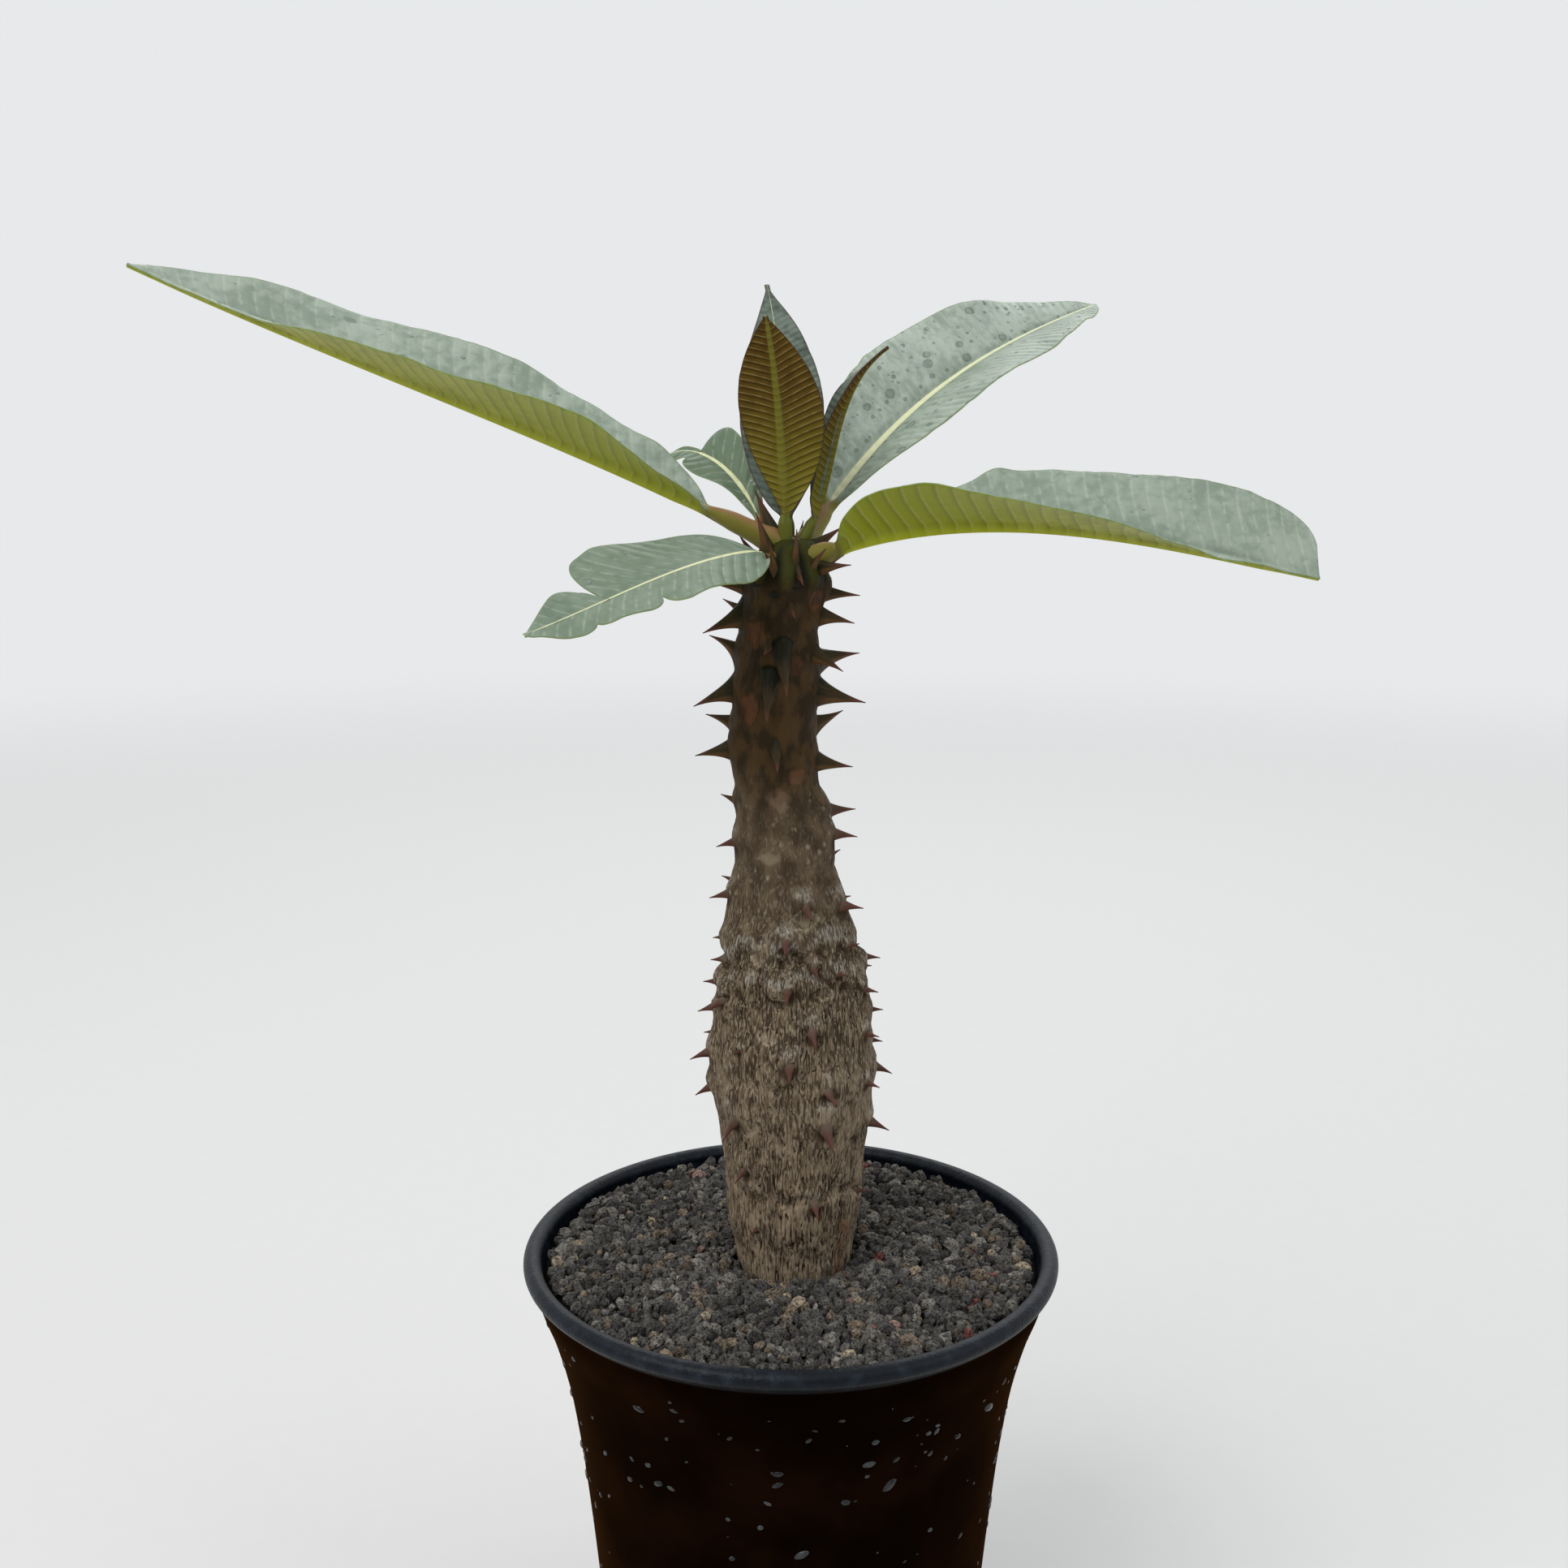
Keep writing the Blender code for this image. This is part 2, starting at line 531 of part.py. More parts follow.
def blade_half(leaf, s, side, share):
    """Top and bottom of a column of the blade: places across and above the midrib.

    The column lies at a share, from the rib to the edge, of the half width.
    """
    width = blade_width(leaf, s, side)
    rib = np.minimum(stalk_radius(leaf, s), RIB_SHARE * width)
    reach = rib + (width - rib) * share
    fold = leaf.fold[0] + (leaf.fold[1] - leaf.fold[0]) * s
    angle = np.radians(fold * (1 + FOLD_SPREAD * (1 - share))) * np.clip(width / FOLD_WIDTH, 0, 1)
    height, waves = leaf.ripple
    wave = height * MM * share**2 * np.sin(2 * math.pi * waves * s + RIPPLE_TURN * side)
    wave = wave * np.clip(width / (RIPPLE_WIDTH * leaf.left[0] * MM), 0, 1)
    half = BLADE_THICKNESS / 2
    across = reach * np.cos(angle)
    rise = reach * np.sin(angle) + wave
    inner = np.maximum(across - half * np.sin(angle), RIB_CLEAR * rib)
    top = (side * inner, rise + half * np.cos(angle))
    bottom = (side * (across + half * np.sin(angle)), rise - half * np.cos(angle))
    return top, bottom


def leaf_rings(leaf):
    """Sections along a leaf, round in its stalk and thin in its blade, with a rib below."""
    s = leaf_stations(leaf)
    middle, left, up = leaf_frame(leaf, s)
    radius = stalk_radius(leaf, s)
    half = BLADE_THICKNESS / 2
    columns = [blade_half(leaf, s, 1, share) for share in COLUMN_SHARES]
    columns.append(((0 * s, 0 * s + half), (0 * s, -half - RIB_DEPTH * radius)))
    columns += [blade_half(leaf, s, -1, share) for share in reversed(COLUMN_SHARES)]
    outline = [top for top, _ in columns] + [bottom for _, bottom in reversed(columns)]
    flat = np.array(outline).transpose(1, 2, 0)
    turn = (np.arange(len(outline)) + 0.5) * 2 * math.pi / len(outline)
    stalk = radius[:, None] * np.array([np.cos(turn), np.sin(turn)])[:, None, :]
    start, over = BLADE_OPENS
    opened = ease((s / leaf.stalk - start) / over)[:, None]
    across, rise = stalk * (1 - opened) + flat * opened
    return middle[:, None] + across[..., None] * left[:, None] + rise[..., None] * up[:, None]


def leaf_stations(leaf):
    """Shares of the length at which a leaf has a section: even ones, and both ends of a notch."""
    stations = list(np.linspace(0, 1, leaf.stations))
    for _, start, end, _ in leaf.notches:
        for t in (start, (3 * start + end) / 4, (start + end) / 2, (start + 3 * end) / 4, end):
            place = leaf.stalk + (1 - leaf.stalk) * t
            stations = [s for s in stations if abs(s - place) > 0.012] + [place]
    return np.array(sorted(stations))


def build_leaf(leaf, parts):
    """A leaf of one piece, with both faces of its blade split into triangles alike."""
    rings = leaf_rings(leaf)
    around = rings.shape[1]
    half = around // 2
    shape = bmesh.new()
    corners = [add_ring(shape, ring) for ring in rings]
    for ring, following in zip(corners, corners[1:]):
        for i in range(around):
            j = (i + 1) % around
            if i < half:
                triangles = ((ring[i], ring[j], following[j]), (ring[i], following[j], following[i]))
            else:
                triangles = ((ring[i], ring[j], following[i]), (ring[j], following[j], following[i]))
            for triangle in triangles:
                shape.faces.new(triangle)
    for ring in (corners[0], corners[-1]):
        for i in range(half - 1):
            shape.faces.new((ring[i], ring[i + 1], ring[around - i - 2], ring[around - i - 1]))
    thing = finish(leaf.name, shape, parts)
    paint(thing, YOUNG_COLOUR if "young" in leaf.name else LEAF_COLOUR, 0.45)


def sleeve_rings(leaf):
    """Sections a little wider than the stalk, from just below its foot, to cut its socket."""
    s = np.linspace(0, SLEEVE_LENGTH / (leaf.length * MM), 5)
    middle, left, up = leaf_frame(leaf, s)
    middle[0] -= np.cross(left[0], up[0]) * GAP
    radius = stalk_radius(leaf, s) + GAP
    turn = np.arange(14) * 2 * math.pi / 14
    across = (radius[:, None] * np.cos(turn))[..., None] * left[:, None]
    return middle[:, None] + across + (radius[:, None] * np.sin(turn))[..., None] * up[:, None]


def main():
    for thing in list(bpy.data.objects):
        bpy.data.objects.remove(thing)
    parts = bpy.data.collections.new("potted_pachypodium")
    cutters = bpy.data.collections.new("cutters")
    bpy.context.scene.collection.children.link(parts)
    bpy.context.scene.collection.children.link(cutters)
    build_pot(parts, cutters)
    build_soil(parts)
    build_trunk(parts, cutters)
    for leaf in LEAVES:
        build_leaf(leaf, parts)


main()
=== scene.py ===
"""A potted pachypodium: a dark flared pot of volcanic gravel, a spiny trunk and a tuft of leaves.

Blender 4.5, metres, +Z up. The origin is the centre of the pot's base, and -Y is the side
towards the viewer. Bearings are degrees anticlockwise from +X, seen from above, and heights
are above the gravel unless they are called levels, which are above the pot's base.
"""

from __future__ import annotations

import logging
import math
from dataclasses import dataclass, field
from enum import Enum

import bpy
import numpy as np
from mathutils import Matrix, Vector

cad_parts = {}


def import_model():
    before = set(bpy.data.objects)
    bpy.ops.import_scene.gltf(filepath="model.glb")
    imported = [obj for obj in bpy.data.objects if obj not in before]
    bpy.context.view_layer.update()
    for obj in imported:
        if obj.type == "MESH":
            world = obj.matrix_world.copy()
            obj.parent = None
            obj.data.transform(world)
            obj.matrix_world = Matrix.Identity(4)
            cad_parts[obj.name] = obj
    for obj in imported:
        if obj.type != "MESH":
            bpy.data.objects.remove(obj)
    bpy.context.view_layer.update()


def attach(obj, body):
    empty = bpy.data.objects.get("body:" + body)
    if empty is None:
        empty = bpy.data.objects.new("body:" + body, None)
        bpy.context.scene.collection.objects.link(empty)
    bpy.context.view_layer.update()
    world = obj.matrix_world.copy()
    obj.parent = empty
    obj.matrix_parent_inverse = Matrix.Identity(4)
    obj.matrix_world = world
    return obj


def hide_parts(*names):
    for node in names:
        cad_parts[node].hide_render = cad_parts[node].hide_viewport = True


log = logging.getLogger("pachypodium")

Array = np.ndarray
Random = np.random.Generator
Piece = bpy.types.Object
Material = bpy.types.Material
Colour = tuple[float, float, float]
MM = 0.001
TAU = 2 * math.pi
GAP = 0.35 * MM  # left between pieces that touch
UP = np.array([0.0, 0.0, 1.0])
BODY = "root"


class Slot(Enum):
    """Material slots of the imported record."""

    POT = "pot"
    GRAVEL = "gravel"
    BARK = "bark"
    LEAF = "leaf"
    YOUNG_LEAF = "young_leaf"


# ------------------------ shared sums


def smooth(stops: Array | tuple, x: Array | float) -> Array:
    """Values on a smooth curve through stops, by cubic steps that keep each stop's mean slope.

    Args:
        stops: Rows of a place and one or more values.
        x: Places at which the curve is read.

    Returns:
        One row of values for each place.
    """
    table = np.array(stops, float)
    place, value = table[:, 0], table[:, 1:]
    slope = np.gradient(value, place, axis=0)
    x = np.clip(np.atleast_1d(np.asarray(x, float)), place[0], place[-1])
    i = np.clip(np.searchsorted(place, x) - 1, 0, len(place) - 2)
    span = (place[i + 1] - place[i])[:, None]
    t = ((x - place[i]) / span[:, 0])[:, None]
    return (
        (1 + 2 * t) * (1 - t) ** 2 * value[i]
        + t * (1 - t) ** 2 * span * slope[i]
        + t * t * (3 - 2 * t) * value[i + 1]
        + t * t * (t - 1) * span * slope[i + 1]
    )


def bend(values: tuple, s: Array) -> Array:
    """The parabola through three values, at the start, middle and end of s from 0 to 1."""
    first, middle, last = values
    return first + (4 * middle - 3 * first - last) * s + (2 * first - 4 * middle + 2 * last) * s * s


def ease(x: Array | float) -> Array:
    """0 below 0 and 1 above 1, with the rise 3x^2 - 2x^3 between."""
    x = np.clip(x, 0, 1)
    return x * x * (3 - 2 * x)


def hump(x: Array, half: float) -> Array:
    """A bell that is 1 at 0 and has fallen to 1/e at half."""
    return np.exp(-((x / half) ** 2))


def unit(vectors: Array) -> Array:
    """Vectors along the last axis, each divided by its length."""
    return vectors / np.linalg.norm(vectors, axis=-1, keepdims=True)


def circle(turn: Array) -> Array:
    """Points (cos a, sin a) for directions a in radians."""
    return np.stack([np.cos(turn), np.sin(turn)], -1)


def about_axis(radius: Array | float, turn: Array, level: Array | float) -> Array:
    """Points (r cos a, r sin a, z) for radii r, directions a in radians and levels z."""
    return np.stack(np.broadcast_arrays(radius * np.cos(turn), radius * np.sin(turn), level), -1)


def value_noise(u: Array, v: Array, across: int, along: int, rng: Random) -> Array:
    """Smooth random values from -1 to 1 that repeat once round in u.

    Random values stand at the corners of a lattice over u and v from 0 to 1, and between them
    the nearest four are mixed by eased steps.

    Args:
        u: Place round, from 0 to 1, wrapping.
        v: Place along, from 0 to 1.
        across: Lattice cells round.
        along: Lattice cells along.
        rng: Source of the lattice's values.

    Returns:
        An array shaped as u and v are together.
    """
    table = rng.uniform(-1, 1, (along + 1, across))
    x, y = u * across, np.clip(v, 0, 1) * along
    i = np.floor(x).astype(int)
    j = np.clip(np.floor(y).astype(int), 0, along - 1)
    fx, fy = ease(x - i), ease(y - j)
    left, right = i % across, (i + 1) % across
    low = table[j, left] * (1 - fx) + table[j, right] * fx
    high = table[j + 1, left] * (1 - fx) + table[j + 1, right] * fx
    return low * (1 - fy) + high * fy


def cell_gap(u: Array, v: Array, across: int, along: int, rng: Random) -> Array:
    """How far places on a surface that is unrolled lie from the borders between cells.

    Each box of a lattice over u and v holds one seed at a random place. The gap is the
    distance to the second nearest seed less that to the nearest, both in boxes.

    Args:
        u: Place round, from 0 to 1, wrapping.
        v: Place along, from 0 to 1.
        across: Boxes round.
        along: Boxes along.
        rng: Source of the seeds.

    Returns:
        The gap, which is 0 on a border.
    """
    seeds = rng.uniform(0.08, 0.92, (along + 3, across, 2))
    x, y = u * across, np.clip(v, 0, 1) * along + 1
    i, j = np.floor(x).astype(int), np.floor(y).astype(int)
    nearest = np.full((2, *x.shape), 9.0)
    for column in (-1, 0, 1):
        for row in (-1, 0, 1):
            seed = seeds[j + row, (i + column) % across]
            away = np.hypot(i + column + seed[..., 0] - x, j + row + seed[..., 1] - y)
            nearest = np.sort(np.concatenate([nearest, away[None]]), 0)[:2]
    return nearest[1] - nearest[0]


def grid_faces(rows: int, columns: int, closed: bool = True) -> Array:
    """Corner numbers of the four-sided faces of a grid of points, row by row.

    Args:
        rows: Rows of points.
        columns: Points in a row.
        closed: Whether the last column joins the first.

    Returns:
        One row of four corners for each face, turned so that it points out where the rows
        rise and the columns run anticlockwise.
    """
    row = np.arange(rows - 1)[:, None] * columns
    column = np.arange(columns if closed else columns - 1)[None]
    following = (column + 1) % columns
    here, there = row + column, row + following
    return np.stack([here, there, there + columns, here + columns], -1).reshape(-1, 4)


def fan_faces(ring: Array, pole: int, upward: bool) -> Array:
    """Triangles that close a ring of corners with one point.

    Args:
        ring: Corner numbers round the ring, anticlockwise seen from above.
        pole: Corner number of the point.
        upward: Whether the triangles face up.

    Returns:
        One row of three corners for each triangle.
    """
    following = np.roll(ring, -1)
    pair = (ring, following) if upward else (following, ring)
    return np.stack([*pair, np.full_like(ring, pole)], 1)


def turned(section: Array, sides: int) -> tuple[Array, list[Array]]:
    """The surface that a half section makes when it is turned round the axis.

    The section starts and ends on the axis, and has the outside on its right.

    Args:
        section: Radius and level of each point.
        sides: Points round.

    Returns:
        Points, the poles last, and arrays of faces.
    """
    turn = np.arange(sides) * TAU / sides
    rings = section[1:-1]
    points = about_axis(rings[:, :1], turn, rings[:, 1:]).reshape(-1, 3)
    poles = [(0.0, 0.0, section[0, 1]), (0.0, 0.0, section[-1, 1])]
    return np.vstack([points, poles]), tube_faces(len(rings), sides)


def tube_faces(rows: int, columns: int) -> list[Array]:
    """Faces of a grid that closes on itself, with two more points that close its ends.

    Args:
        rows: Rows of the grid.
        columns: Points in a row.

    Returns:
        Arrays of faces. The end points are numbered after the grid's.
    """
    ring = np.arange(columns)
    return [
        grid_faces(rows, columns),
        fan_faces(ring, rows * columns, False),
        fan_faces(ring + (rows - 1) * columns, rows * columns + 1, True),
    ]


def repeated(faces: list[Array], count: int, size: int) -> list[Array]:
    """The faces of a number of copies of a shape that has size points."""
    step = (np.arange(count) * size)[:, None, None]
    return [(array[None] + step).reshape(-1, array.shape[1]) for array in faces]


def make_piece(name: str, points: Array, faces: list[Array]) -> Piece:
    """A mesh object at the origin from arrays of points and faces.

    Args:
        name: The piece's name.
        points: One row for each point, in metres.
        faces: Arrays of corner numbers, each with one row for a face.

    Returns:
        The object, linked to the scene and shaded smooth.
    """
    corners = np.concatenate([array.ravel() for array in faces]).astype(np.int32)
    sizes = np.concatenate([np.full(len(array), array.shape[1]) for array in faces])
    starts = np.concatenate([[0], np.cumsum(sizes)[:-1]]).astype(np.int32)
    mesh = bpy.data.meshes.new(name)
    mesh.vertices.add(len(points))
    mesh.loops.add(len(corners))
    mesh.polygons.add(len(starts))
    mesh.vertices.foreach_set("co", np.asarray(points, np.float32).ravel())
    mesh.loops.foreach_set("vertex_index", corners)
    mesh.polygons.foreach_set("loop_start", starts)
    mesh.update(calc_edges=True)
    mesh.validate()
    mesh.shade_smooth()
    piece = bpy.data.objects.new(name, mesh)
    bpy.context.scene.collection.objects.link(piece)
    return piece


def paint_values(piece: Piece, **fields: Array) -> None:
    """Stores values at the points of a piece, for its material to read.

    Args:
        piece: The piece.
        fields: Under each name, one number or one colour for each point.
    """
    for name, values in fields.items():
        values = np.asarray(values, np.float32)
        if values.ndim == 2:
            values = np.column_stack([values, np.ones(len(values), np.float32)])
            layer = piece.data.attributes.new(name, "FLOAT_COLOR", "POINT")
            layer.data.foreach_set("color", values.ravel())
        else:
            layer = piece.data.attributes.new(name, "FLOAT", "POINT")
            layer.data.foreach_set("value", values.ravel())


def paint_tube(piece: Piece, shape: tuple[int, int], fields: dict[str, Array]) -> None:
    """Stores values over the grid of a tube, whose end points take those beside them.

    Args:
        piece: The tube's piece.
        shape: Rows and columns of the grid.
        fields: Under each name, values that can be spread over the grid.
    """
    for name, values in fields.items():
        values = np.broadcast_to(values, shape)
        paint_values(piece, **{name: np.append(values.ravel(), (values[0, 0], values[-1, 0]))})


def paint_map(piece: Piece, name: str, places: Array) -> None:
    """Gives a piece a UV map.

    Args:
        piece: The piece.
        name: The map's name.
        places: One pair of numbers for each point.
    """
    mesh = piece.data
    corners = np.empty(len(mesh.loops), np.int32)
    mesh.loops.foreach_get("vertex_index", corners)
    layer = mesh.uv_layers.new(name=name)
    layer.data.foreach_set("uv", np.asarray(places, np.float32)[corners].ravel())


def settle(piece: Piece, material: Material, slot: Slot, *replaced: str) -> None:
    """Dresses a piece, fixes it to the body and hides the CAD nodes that it replaces.

    Args:
        piece: The finished object.
        material: Its finish.
        slot: Not used.
        replaced: Names of the CAD nodes that it replaces.
    """
    piece.data.materials.clear()
    piece.data.materials.append(material)
    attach(piece, BODY)
    if replaced:
        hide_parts(*replaced)
    corners = np.empty(len(piece.data.polygons), np.int32)
    piece.data.polygons.foreach_get("loop_total", corners)
    log.info("%s: %d triangles", piece.name, (corners - 2).sum())


# ------------------------ shader maths


class Value:
    """One output of a shader node, whose arithmetic adds Math nodes."""

    def __init__(self, nodes: Nodes, socket: bpy.types.NodeSocket) -> None:
        """Wraps a socket of a material's nodes."""
        self.nodes = nodes
        self.socket = socket

    def _math(self, operation: str, *terms: Value | float) -> Value:
        """The result of a Math node on the terms."""
        return self.nodes.add("ShaderNodeMath", {"operation": operation}, dict(enumerate(terms)))

    def __add__(self, other: Value | float) -> Value:
        """Sum."""
        return self._math("ADD", self, other)

    def __sub__(self, other: Value | float) -> Value:
        """Difference."""
        return self._math("SUBTRACT", self, other)

    def __rsub__(self, other: Value | float) -> Value:
        """Difference from a number."""
        return self._math("SUBTRACT", other, self)

    def __mul__(self, other: Value | float) -> Value:
        """Product."""
        return self._math("MULTIPLY", self, other)

    def __truediv__(self, other: Value | float) -> Value:
        """Quotient."""
        return self._math("DIVIDE", self, other)

    def __abs__(self) -> Value:
        """Size without sign."""
        return self._math("ABSOLUTE", self)

    __radd__ = __add__
    __rmul__ = __mul__

    def most(self, other: Value | float) -> Value:
        """The larger of two values."""
        return self._math("MAXIMUM", self, other)

    def fraction(self) -> Value:
        """What is left over a whole number."""
        return self._math("FRACT", self)

    def rise(self, low: float, high: float) -> Value:
        """0 at low and 1 at high, eased between.

        Args:
            low: Where it starts.
            high: Where it ends, which may be below low.

        Returns:
            The share from 0 to 1.
        """
        places = {"From Min": low, "From Max": high, "To Min": 0.0, "To Max": 1.0}
        if low > high:
            places.update({"From Min": high, "From Max": low, "To Min": 1.0, "To Max": 0.0})
        settings = {"interpolation_type": "SMOOTHSTEP"}
        return self.nodes.add("ShaderNodeMapRange", settings, {"Value": self, **places})


class Nodes:
    """The nodes of one material."""

    def __init__(self, name: str, world: bpy.types.World | None = None) -> None:
        """Starts the empty nodes of a new material, or of a world.

        Args:
            name: The material's name.
            world: A world, when the nodes are its own.
        """
        self.material = world or bpy.data.materials.new(name)
        self.material.use_nodes = True
        self.tree = self.material.node_tree
        self.tree.nodes.clear()

    def add(
        self,
        kind: str,
        settings: dict | None = None,
        inputs: dict | None = None,
        output: int | str | None = 0,
    ) -> Value | None:
        """Adds a node.

        Args:
            kind: The node's type.
            settings: Its own settings, which are set first.
            inputs: A value, number, colour or link for each input socket.
            output: The output socket that is given back, if the node has one.

        Returns:
            That output.
        """
        node = self.tree.nodes.new(kind)
        for key, value in (settings or {}).items():
            setattr(node, key, value)
        for key, value in (inputs or {}).items():
            socket = node.inputs[key]
            if isinstance(value, Value):
                self.tree.links.new(value.socket, socket)
            elif socket.type == "RGBA":
                socket.default_value = (*value, 1.0)
            else:
                socket.default_value = value
        return None if output is None else Value(self, node.outputs[output])

    def place(self, stretch: Colour = (1.0, 1.0, 1.0)) -> Value:
        """Object coordinates, in metres, squeezed along each axis by stretch."""
        coordinates = self.add("ShaderNodeTexCoord", output="Object")
        return self.add("ShaderNodeMapping", inputs={"Vector": coordinates, "Scale": stretch})

    def field(self, name: str, output: str = "Fac") -> Value:
        """A value, or with output Color a colour, that the mesh stores at its points."""
        return self.add("ShaderNodeAttribute", {"attribute_name": name}, output=output)

    def noise(
        self, place: Value, size: float, detail: float = 2.0, warp: float = 0.0, output: str = "Fac"
    ) -> Value:
        """Soft noise with features of about a size, in the units of its place."""
        inputs = {"Vector": place, "Scale": 1 / size, "Detail": detail, "Distortion": warp}
        return self.add("ShaderNodeTexNoise", inputs=inputs, output=output)

    def cells(self, place: Value, size: float, output: str = "Distance", space: str = "3D") -> Value:
        """A cell pattern of a size: distance to the nearest centre, or a colour for each cell."""
        inputs = {"Vector": place, "Scale": 1 / size}
        return self.add("ShaderNodeTexVoronoi", {"voronoi_dimensions": space}, inputs, output)

    def shifted(self, place: Value, size: float, amount: float) -> Value:
        """A place moved at random.

        Args:
            place: The place.
            size: Of the swirls that move it.
            amount: Twice the most that it moves along each axis.

        Returns:
            The moved place.
        """
        swirl = self.noise(place, size, output="Color")
        centred = self.add(
            "ShaderNodeVectorMath", {"operation": "SUBTRACT"}, {0: swirl, 1: (0.5, 0.5, 0.5)}
        )
        moved = {0: centred, 1: (amount, amount, amount), 2: place}
        return self.add("ShaderNodeVectorMath", {"operation": "MULTIPLY_ADD"}, moved)

    def part(self, vector: Value, axis: str) -> Value:
        """One of the X, Y and Z parts of a vector."""
        return self.add("ShaderNodeSeparateXYZ", inputs={0: vector}, output=axis)

    def blend(self, share: Value | float, first: Value | Colour, second: Value | Colour) -> Value:
        """The first colour where the share is 0, turning into the second where it is 1."""
        colours = {"Factor": share, 6: first, 7: second}
        return self.add("ShaderNodeMix", {"data_type": "RGBA"}, colours, 2)

    def tinted(self, colour: Value, shade: Value) -> Value:
        """A colour multiplied by a grey value."""
        settings = {"data_type": "RGBA", "blend_type": "MULTIPLY"}
        return self.add("ShaderNodeMix", settings, {"Factor": 1.0, 6: colour, 7: shade}, 2)

    def relief(self, height: Value, depth: float) -> Value:
        """A normal from a height of 0 to 1 that stands for a real depth in metres."""
        inputs = {"Height": height, "Distance": depth, "Strength": 1.0}
        return self.add("ShaderNodeBump", inputs=inputs, output="Normal")

    def principled(self, **inputs: Value | float | Colour) -> Value:
        """A Principled shader, whose sockets are named with _ for each space."""
        named = {key.replace("_", " "): value for key, value in inputs.items()}
        return self.add("ShaderNodeBsdfPrincipled", inputs=named)

    def mixed(self, share: Value, first: Value, second: Value) -> Value:
        """The first shader where the share is 0, turning into the second where it is 1."""
        return self.add("ShaderNodeMixShader", inputs={0: share, 1: first, 2: second})

    def done(self, shader: Value) -> Material:
        """The material, with a shader as its surface."""
        self.add("ShaderNodeOutputMaterial", inputs={"Surface": shader}, output=None)
        return self.material

    def finished(self, **inputs: Value | float | Colour) -> Material:
        """The material, with one Principled shader as its surface."""
        return self.done(self.principled(**inputs))


# ------------------------ finishes


@dataclass(frozen=True)
class PotFinish:
    """Near-black plastic: a satin, leathery lip over a smooth brown-black wall."""

    lip: Colour = (0.0028, 0.0048, 0.0085)
    lip_pale: Colour = (0.0100, 0.0150, 0.0230)
    wall: Colour = (0.0021, 0.0009, 0.0005)
    wall_warm: Colour = (0.0075, 0.0028, 0.0010)
    glow: Colour = (0.80, 0.36, 0.13)
    cloud: float = 22 * MM  # this and the next four are sizes of patterns
    wear: float = 3.2 * MM
    leather: float = 0.8 * MM
    haze: float = 5 * MM
    dent: float = 9 * MM

    def material(self) -> Material:
        """The pot's material. It reads the field lip, 1 on the lip and inside.

        Returns:
            The material.
        """
        n = Nodes("pot_plastic")
        place = n.place()
        cloud = n.noise(place, self.cloud, 3)
        wear = n.noise(place, self.wear, 5).rise(0.46, 0.74)
        grain = n.noise(place, self.leather, 3, 0.6)
        haze = n.noise(place, self.haze, 4).rise(0.4, 0.75)
        rim = n.principled(
            Base_Color=n.blend(wear, self.lip, self.lip_pale),
            Roughness=0.34 + 0.16 * grain,
            Normal=n.relief(grain, 0.16 * MM),
            Specular_IOR_Level=0.17,
        )
        wall = n.principled(
            Base_Color=n.blend(cloud.rise(0.35, 0.7), self.wall, self.wall_warm),
            Roughness=0.42 + 0.14 * haze,
            Normal=n.relief(n.noise(place, self.dent, 1), 0.05 * MM),
            Specular_IOR_Level=0.0,
            Sheen_Weight=0.05,
            Sheen_Roughness=0.36,
            Sheen_Tint=self.glow,
        )
        return n.done(n.mixed(n.field("lip"), wall, rim))


@dataclass(frozen=True)
class WaterFinish:
    """Drops of water, clear and glossy, with a film of dust. The pale ones on the leaves are painted glints.
    """

    name: str
    # the pot's drops are dark with dust; the leaves' drops are pale: painted glints
    colour: Colour
    dust_and_glint: Colour
    alpha: float
    film: float = 6 * MM  # size of the film's patches

    def material(self) -> Material:
        """The drops' material.

        Returns:
            The material.
        """
        n = Nodes(self.name)
        film = n.noise(n.place(), self.film, 1)
        return n.finished(
            Base_Color=n.blend(film.rise(0.45, 0.75), self.colour, self.dust_and_glint),
            Roughness=0.14 + 0.20 * film,
            Alpha=self.alpha,
            IOR=1.33,
            Coat_Weight=0.3,
            Coat_Roughness=0.08,
        )


@dataclass(frozen=True)
class GravelFinish:
    """Porous volcanic grit: each stone has its own colour, with pits and dust."""

    pit: float = 0.62 * MM
    swirl: float = 0.5 * MM
    dust: float = 0.8 * MM
    grain: float = 0.17 * MM
    brightness: float = 1.9
    depth: float = 0.42 * MM

    def material(self) -> Material:
        """The stones' material. It reads each stone's colour from the field stone.

        Returns:
            The material.
        """
        n = Nodes("volcanic_stone")
        place = n.place()
        pits = n.cells(n.shifted(place, self.swirl, self.swirl), self.pit).rise(0.10, 0.50)
        dust = n.noise(place, self.dust, 4).rise(0.30, 0.75)
        grit = n.noise(place, self.grain, 3)
        shade = (0.30 + 0.70 * pits) * (0.45 + 0.70 * dust) * (0.50 + 1.05 * grit)
        return n.finished(
            Base_Color=n.tinted(n.field("stone", "Color"), shade * self.brightness),
            Roughness=0.84 + 0.14 * grit,
            Normal=n.relief(pits * 0.8 + grit * 0.5, self.depth),
            Specular_IOR_Level=0.22,
        )


@dataclass(frozen=True)
class BedFinish:
    """Dark fine grit that lies below and between the stones."""

    dark: Colour = (0.0045, 0.0040, 0.0035)
    pale: Colour = (0.024, 0.021, 0.018)
    lump: float = 1.1 * MM
    grain: float = 0.25 * MM
    depth: float = 0.5 * MM

    def material(self) -> Material:
        """The bed's material.

        Returns:
            The material.
        """
        n = Nodes("gravel_bed")
        place = n.place()
        lumps = n.cells(place, self.lump).rise(0.55, 0.1)
        grit = n.noise(place, self.grain, 2)
        return n.finished(
            Base_Color=n.blend(lumps * grit, self.dark, self.pale),
            Roughness=0.9 + 0.08 * grit,
            Normal=n.relief(lumps + grit * 0.3, self.depth),
            Specular_IOR_Level=0.1,
        )


